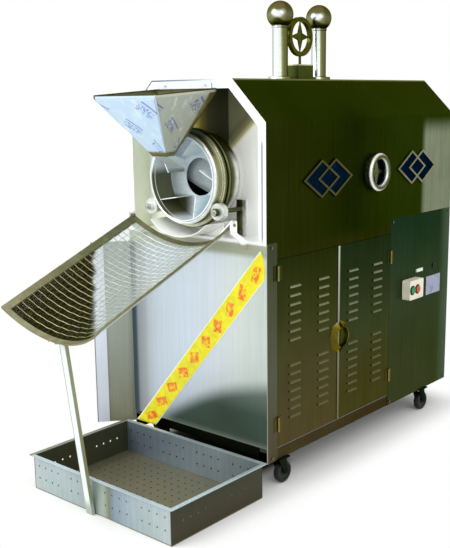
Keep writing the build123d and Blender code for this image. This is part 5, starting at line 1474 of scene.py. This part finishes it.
class ROASTER_OT_chute(RoasterPiece, bpy.types.Operator):
    """Finishes the chute's frame and leg, and weaves its wire mesh"""
    bl_idname = "roaster.chute"
    bl_label = "Chute"
    finishes = {
        "stainless_chute_bar": ["chute_frame"],
        "stainless_leg_bright": ["chute_leg"],
    }

    def execute(self, context):
        c = context.scene.roaster_chute
        self.dress()
        self.mesh(c)
        self.gauze(c)
        self.hook_wire(c)
        return {"FINISHED"}

    def radius(self, c):
        """The radius of the trough's section, a circle through both rims and the lowest line."""
        half, sag = mm_of(c, "half_width", "sag")
        return (half ** 2 + sag ** 2) / (2 * sag)

    def trough(self, c, turn, run, below):
        """Points at an angle round the trough's section, a run along it and a distance below its face."""
        sag, front, height = mm_of(c, "sag", "pivot_front", "pivot_height")
        radius = self.radius(c)
        x = (radius + below) * np.sin(turn)
        z = radius - sag - (radius + below) * np.cos(turn)
        return leaning(x, run, z, c.slope) + (0, front, height)

    def mesh(self, c):
        """Arcs across the trough at even steps, and straight wires along it, over and under each other.

        An arc's point lies at an angle round the trough, and its depth waves with the long wires' spacing.
        The depth of a long wire waves with the arcs' spacing.
        """
        half, length, start, bar = mm_of(c, "half_width", "length", "start", "bar")
        wire, below = mm_of(c, "wire", "wire_below")
        arc_wire, line_wire, swing = wire * 0.85, wire * 0.45, wire * 0.75
        overlap = bar * 0.4
        reach = np.arcsin((half - overlap) / (self.radius(c) + below))
        outermost = reach * 0.93
        low, high = start - length + bar, start - bar
        turn = np.linspace(-reach, reach, 41)[None, :]
        steps = np.linspace(low, high, c.arcs + 2)[1:-1][:, None]
        across = turn / (2 * reach) * (c.lines - 1) * pi
        weave = swing * np.cos(across) * (-1.0) ** np.arange(c.arcs)[:, None]
        places = np.linspace(-outermost, outermost, c.lines)[:, None]
        run = np.linspace(low - overlap, high + overlap, 4 * c.arcs)[None, :]
        phase = (run - low) / (high - low) * (c.arcs + 1) * pi
        wave = -swing * np.cos(phase) * (-1.0) ** np.arange(c.lines)[:, None]
        arcs = tubes(self.trough(c, turn, steps, below + weave), arc_wire, 6, (0, 1, 0))
        lines = tubes(self.trough(c, places, run, below + wave), line_wire, 6, (1, 0, 0))
        piece = make("chute_wires", [arcs, lines], ["stainless_wire_drawn", "stainless_wire_dull"],
                     "chute", sharp=60)
        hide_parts("chute_mesh")

    def gauze(self, c):
        """Fine wires across and along the trough, below the coarse ones, thickened where they carry the dark
        painted reflection.

        The dark painted reflection is 1 towards the low left end and 0 towards the drum, with a ragged line
        between:
        it falls with a slanting distance over the trough plus crossed sines. A wire's radius and the map's
        first value follow it.
        """
        half, length, start, bar, pitch = mm_of(c, "half_width", "length", "start", "bar", "gauze")
        thin, below = mm_of(c, "gauze_wire", "gauze_below")
        thick = pitch * 0.47
        fade = 12.0
        sides = 4
        overlap = bar * 0.5
        depth = self.radius(c) + below
        reach = np.arcsin((half - overlap) / depth)
        low, high = start - length + overlap, start - overlap
        turn = np.linspace(-reach, reach, 37)[None, :]
        run = np.linspace(low, high, int((high - low) / pitch))[:, None]
        turn_fine = np.linspace(-reach, reach, int(2 * reach * depth / pitch))[:, None]
        run_coarse = np.linspace(low, high, 61)[None, :]
        skins = []
        for angles, places, reference in ((turn, run, (0, 1, 0)), (turn_fine, run_coarse, (1, 0, 0))):
            paths = self.trough(c, angles, places, below)
            ragged = 3 * np.sin(paths[..., 0] / 9) + 2.5 * np.sin(paths[..., 1] / 7 + 1)
            # Painted reflection: its share, which also thickens the wires
            dark_reflection = np.clip((DARK_REFLECTION_EDGE - paths @ DARK_REFLECTION_WAY + ragged) / fade, 0, 1)
            points, polygons, uvs = tubes(paths, thin + (thick - thin) * dark_reflection, sides, reference)
            uvs[:, 0] = np.repeat(dark_reflection.ravel(), sides)[np.concatenate(polygons)]
            skins.append((points, polygons, uvs))
        make("chute_gauze", skins, "steel_gauze_clogged", "chute", sharp=80, closed=False)

    def hook_wire(self, c):
        """A wire bent to a long loop: two straight runs joined by half circles, lying along the right rim."""
        start, end = np.array([224.0, -62.0, 909.0]), np.array([190.0, -92.0, 858.0])
        gap = 4.0
        along = unit(end - start)
        side = unit(np.cross(along, (0.0, 0.0, 1.0)))
        turn = np.linspace(0, pi, 9)[:, None]
        bend = gap * (side * np.cos(turn) + along * np.sin(turn))
        path = np.concatenate([start - bend, end + bend])
        make("hook_wire", [tubes(path, mm_of(c, "wire"), 10, np.cross(along, side), closed=True)],
             "stainless_wire_drawn", "chute")


class ROASTER_OT_tray(RoasterPiece, bpy.types.Operator):
    """Finishes the tray, rolls the edge of its lip and sets dark domes of painted shade in its holes"""
    bl_idname = "roaster.tray"
    bl_label = "Tray"
    finishes = {"stainless_tray_brushed": ["tray"]}

    def execute(self, context):
        t = context.scene.roaster_tray
        low, high = box_of("tray")
        centre, half = (low + high) / 2, (high - low) / 2
        self.dress()
        self.rolled_edge(t, centre, half, high[2])
        self.chaff(t, centre, half)
        return {"FINISHED"}

    def rolled_edge(self, t, centre, half, top):
        """A thin round bar carried round the lip's outline."""
        edge, corner = mm_of(t, "edge", "corner")
        outline = rounded_outline(half[0] - edge, half[1] - edge, corner)
        path = np.column_stack([outline + centre[:2], np.full(len(outline), top - edge - 0.1)])
        make("tray_rolled_edge", [tubes(path, edge, 12, closed=True)], "stainless_lip_pale", "tray")

    def chaff(self, t, centre, half):
        """Painted shade in the holes of the floor and the back wall: low dark domes inside the sheet.

        The floor's holes lie on an even grid, and the wall's in groups of neighbours on two rows. A dome's
        point is its hole's place plus an arm of the row's radius turned round it, raised by the row's share
        of the sheet.
        """
        lip, wall, hole, pitch = mm_of(t, "lip", "wall", "hole", "pitch")
        floor_margin, wall_margin = mm_of(t, "floor_margin", "wall_margin")
        inner = 2 * (half[:2] - lip)
        counts = (inner - 2 * floor_margin) // pitch + 1
        across, back = [(np.arange(count) - (count - 1) / 2) * pitch for count in counts]
        step = (inner[0] - 2 * wall_margin - (t.members - 1) * pitch) / (t.groups - 1)
        middles = (np.arange(t.groups) - (t.groups - 1) / 2)[:, None] * step
        row = (middles + (np.arange(t.members) - (t.members - 1) / 2) * pitch).ravel()
        turn = round_angles(10)[None, :]
        radius = np.array([1.0, 0.98, 0.5])[:, None] * hole
        rise = np.array([0.15, 0.5, 0.7])[:, None] * wall + 0 * turn
        arm_x, arm_y = radius * np.cos(turn), radius * np.sin(turn)
        face = centre[1] + half[1] - lip
        flat = np.stack(np.meshgrid(centre[0] + across, centre[1] + back, [0.0], indexing="ij"), -1)
        rows = mm_of(t, "low_row", "high_row")
        upright = np.stack(np.meshgrid(centre[0] + row, [face], rows, indexing="ij"), -1)
        domes = (flat, [arm_x, arm_y, rise]), (upright, [arm_x, -rise, arm_y])
        skins = [skin(holes.reshape(-1, 1, 1, 3) + np.stack(dome, -1), wrap=True, caps=True)
                 for holes, dome in domes]
        # Painted shade: dark domes that make the holes look dark
        make("tray_hole_shade", skins, "chaff_roasted_dark", "tray")


class ROASTER_OT_service_door(RoasterPiece, bpy.types.Operator):
    """Finishes the open service door on the left and lays a bright strip along its free edge"""
    bl_idname = "roaster.service_door"
    bl_label = "Service door"
    finishes = {"stainless_flap_brushed": ["service_door"]}

    def execute(self, context):
        self.dress()
        self.edge_strip(context.scene.roaster_flap)
        return {"FINISHED"}

    def edge_strip(self, f):
        """The flap's bright edge strip: a rounded plate with bevelled rows, turned about the hinge line."""
        hinge_back, hinge_across, width, strip = mm_of(f, "hinge_back", "hinge_across", "width", "strip")
        low, high, margin, proud = mm_of(f, "low", "high", "margin", "proud")
        along_flap = np.array([-sin(f.opening), cos(f.opening), 0.0])
        out = np.array([-cos(f.opening), -sin(f.opening), 0.0])
        hinge = np.array([hinge_across, hinge_back, (low + high) / 2])
        middle = hinge + along_flap * (width - strip / 2) + out * proud
        rows = [(0.0, 0.0), (0.0, 0.5), (0.4, 0.9)]
        sheet = plate(strip / 2 - margin, (high - low) / 2 - margin, 1.0, rows, middle, -along_flap,
                      (0, 0, 1))
        make("flap_strip", [sheet], "stainless_strip_bright", "service_door")


class ROASTER_OT_casters(RoasterPiece, bpy.types.Operator):
    """Finishes the casters and turns wheels with a crowned tread and a hub"""
    bl_idname = "roaster.casters"
    bl_label = "Casters"
    corners = ("front_left", "front_right", "rear_left", "rear_right")
    finishes = {"steel_fork_dark": ["caster_plates", *["caster_fork_" + corner for corner in corners]]}

    def execute(self, context):
        self.dress()
        for corner in self.corners:
            self.wheel("caster_wheel_" + corner)
        return {"FINISHED"}

    def wheel(self, node):
        """A closed profile carried round the wheel's axle: bore, hub, dished faces and crowned tread."""
        low, high = box_of(node)
        wide, _, radius = (high - low) / 2
        side = np.array([(5.2, wide), (11, wide), (12.5, wide - 1.2), (13, wide - 4),
                         (radius - 11, wide - 4.5), (radius - 9.5, wide - 1), (radius - 5, wide - 0.6),
                         (radius - 1.8, wide - 3), (radius - 0.4, wide - 7)])
        profile = np.concatenate([side, [(radius, 0.0)], side[::-1] * (1, -1)])
        piece = make("tread_" + node, [turned(profile, (low + high) / 2, (1, 0, 0), 56, loop=True)],
                     "rubber_caster_green", node)
        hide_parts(node)


class ROASTER_OT_works(RoasterPiece, bpy.types.Operator):
    """Finishes the drive, the burner and the liner inside the cabinet"""
    bl_idname = "roaster.works"
    bl_label = "Works inside"
    finishes = {
        "stainless_plain_sheet": ["tunnel_liner"],
        "iron_cast_grey": ["gas_burner", "rear_bearing", "drum_rear_shaft", "motor_pulley"],
        "steel_zinc_plated": ["burner_stand", "rear_cross_members"],
        "enamel_motor_blue": ["gear_motor"],
        "rubber_black": ["drive_belt"],
    }

    def execute(self, context):
        self.dress()
        return {"FINISHED"}


class ROASTER_PT_pieces(bpy.types.Panel):
    """Lists the roaster's pieces and settings"""
    bl_label = "Nut roasting machine"
    bl_space_type = "VIEW_3D"
    bl_region_type = "UI"
    bl_category = "Roaster"

    def draw(self, context):
        for operator in OPERATORS:
            self.layout.operator(operator.bl_idname)
        for name, group in SETTINGS.items():
            box = self.layout.box()
            box.label(text=group.__doc__)
            for key in group.__annotations__:
                box.prop(getattr(context.scene, name), key)


OPERATORS = (
    ROASTER_OT_stage,
    ROASTER_OT_cabinet,
    ROASTER_OT_mouth,
    ROASTER_OT_doors,
    ROASTER_OT_controls,
    ROASTER_OT_crest,
    ROASTER_OT_hopper,
    ROASTER_OT_chute,
    ROASTER_OT_tray,
    ROASTER_OT_service_door,
    ROASTER_OT_casters,
    ROASTER_OT_works,
)


def register():
    """Adds the settings, operators and panel to Blender."""
    for name, group in SETTINGS.items():
        bpy.utils.register_class(group)
        setattr(bpy.types.Scene, name, PointerProperty(type=group))
    for operator in OPERATORS:
        bpy.utils.register_class(operator)
    bpy.utils.register_class(ROASTER_PT_pieces)


def unregister():
    """Removes the settings, operators and panel."""
    bpy.utils.unregister_class(ROASTER_PT_pieces)
    for operator in reversed(OPERATORS):
        bpy.utils.unregister_class(operator)
    for name, group in SETTINGS.items():
        delattr(bpy.types.Scene, name)
        bpy.utils.unregister_class(group)


def main():
    """Registers the add-on and builds every piece in order."""
    register()
    for operator in OPERATORS:
        group, name = operator.bl_idname.split(".")
        getattr(getattr(bpy.ops, group), name)()


if __name__ == "__main__":
    main()
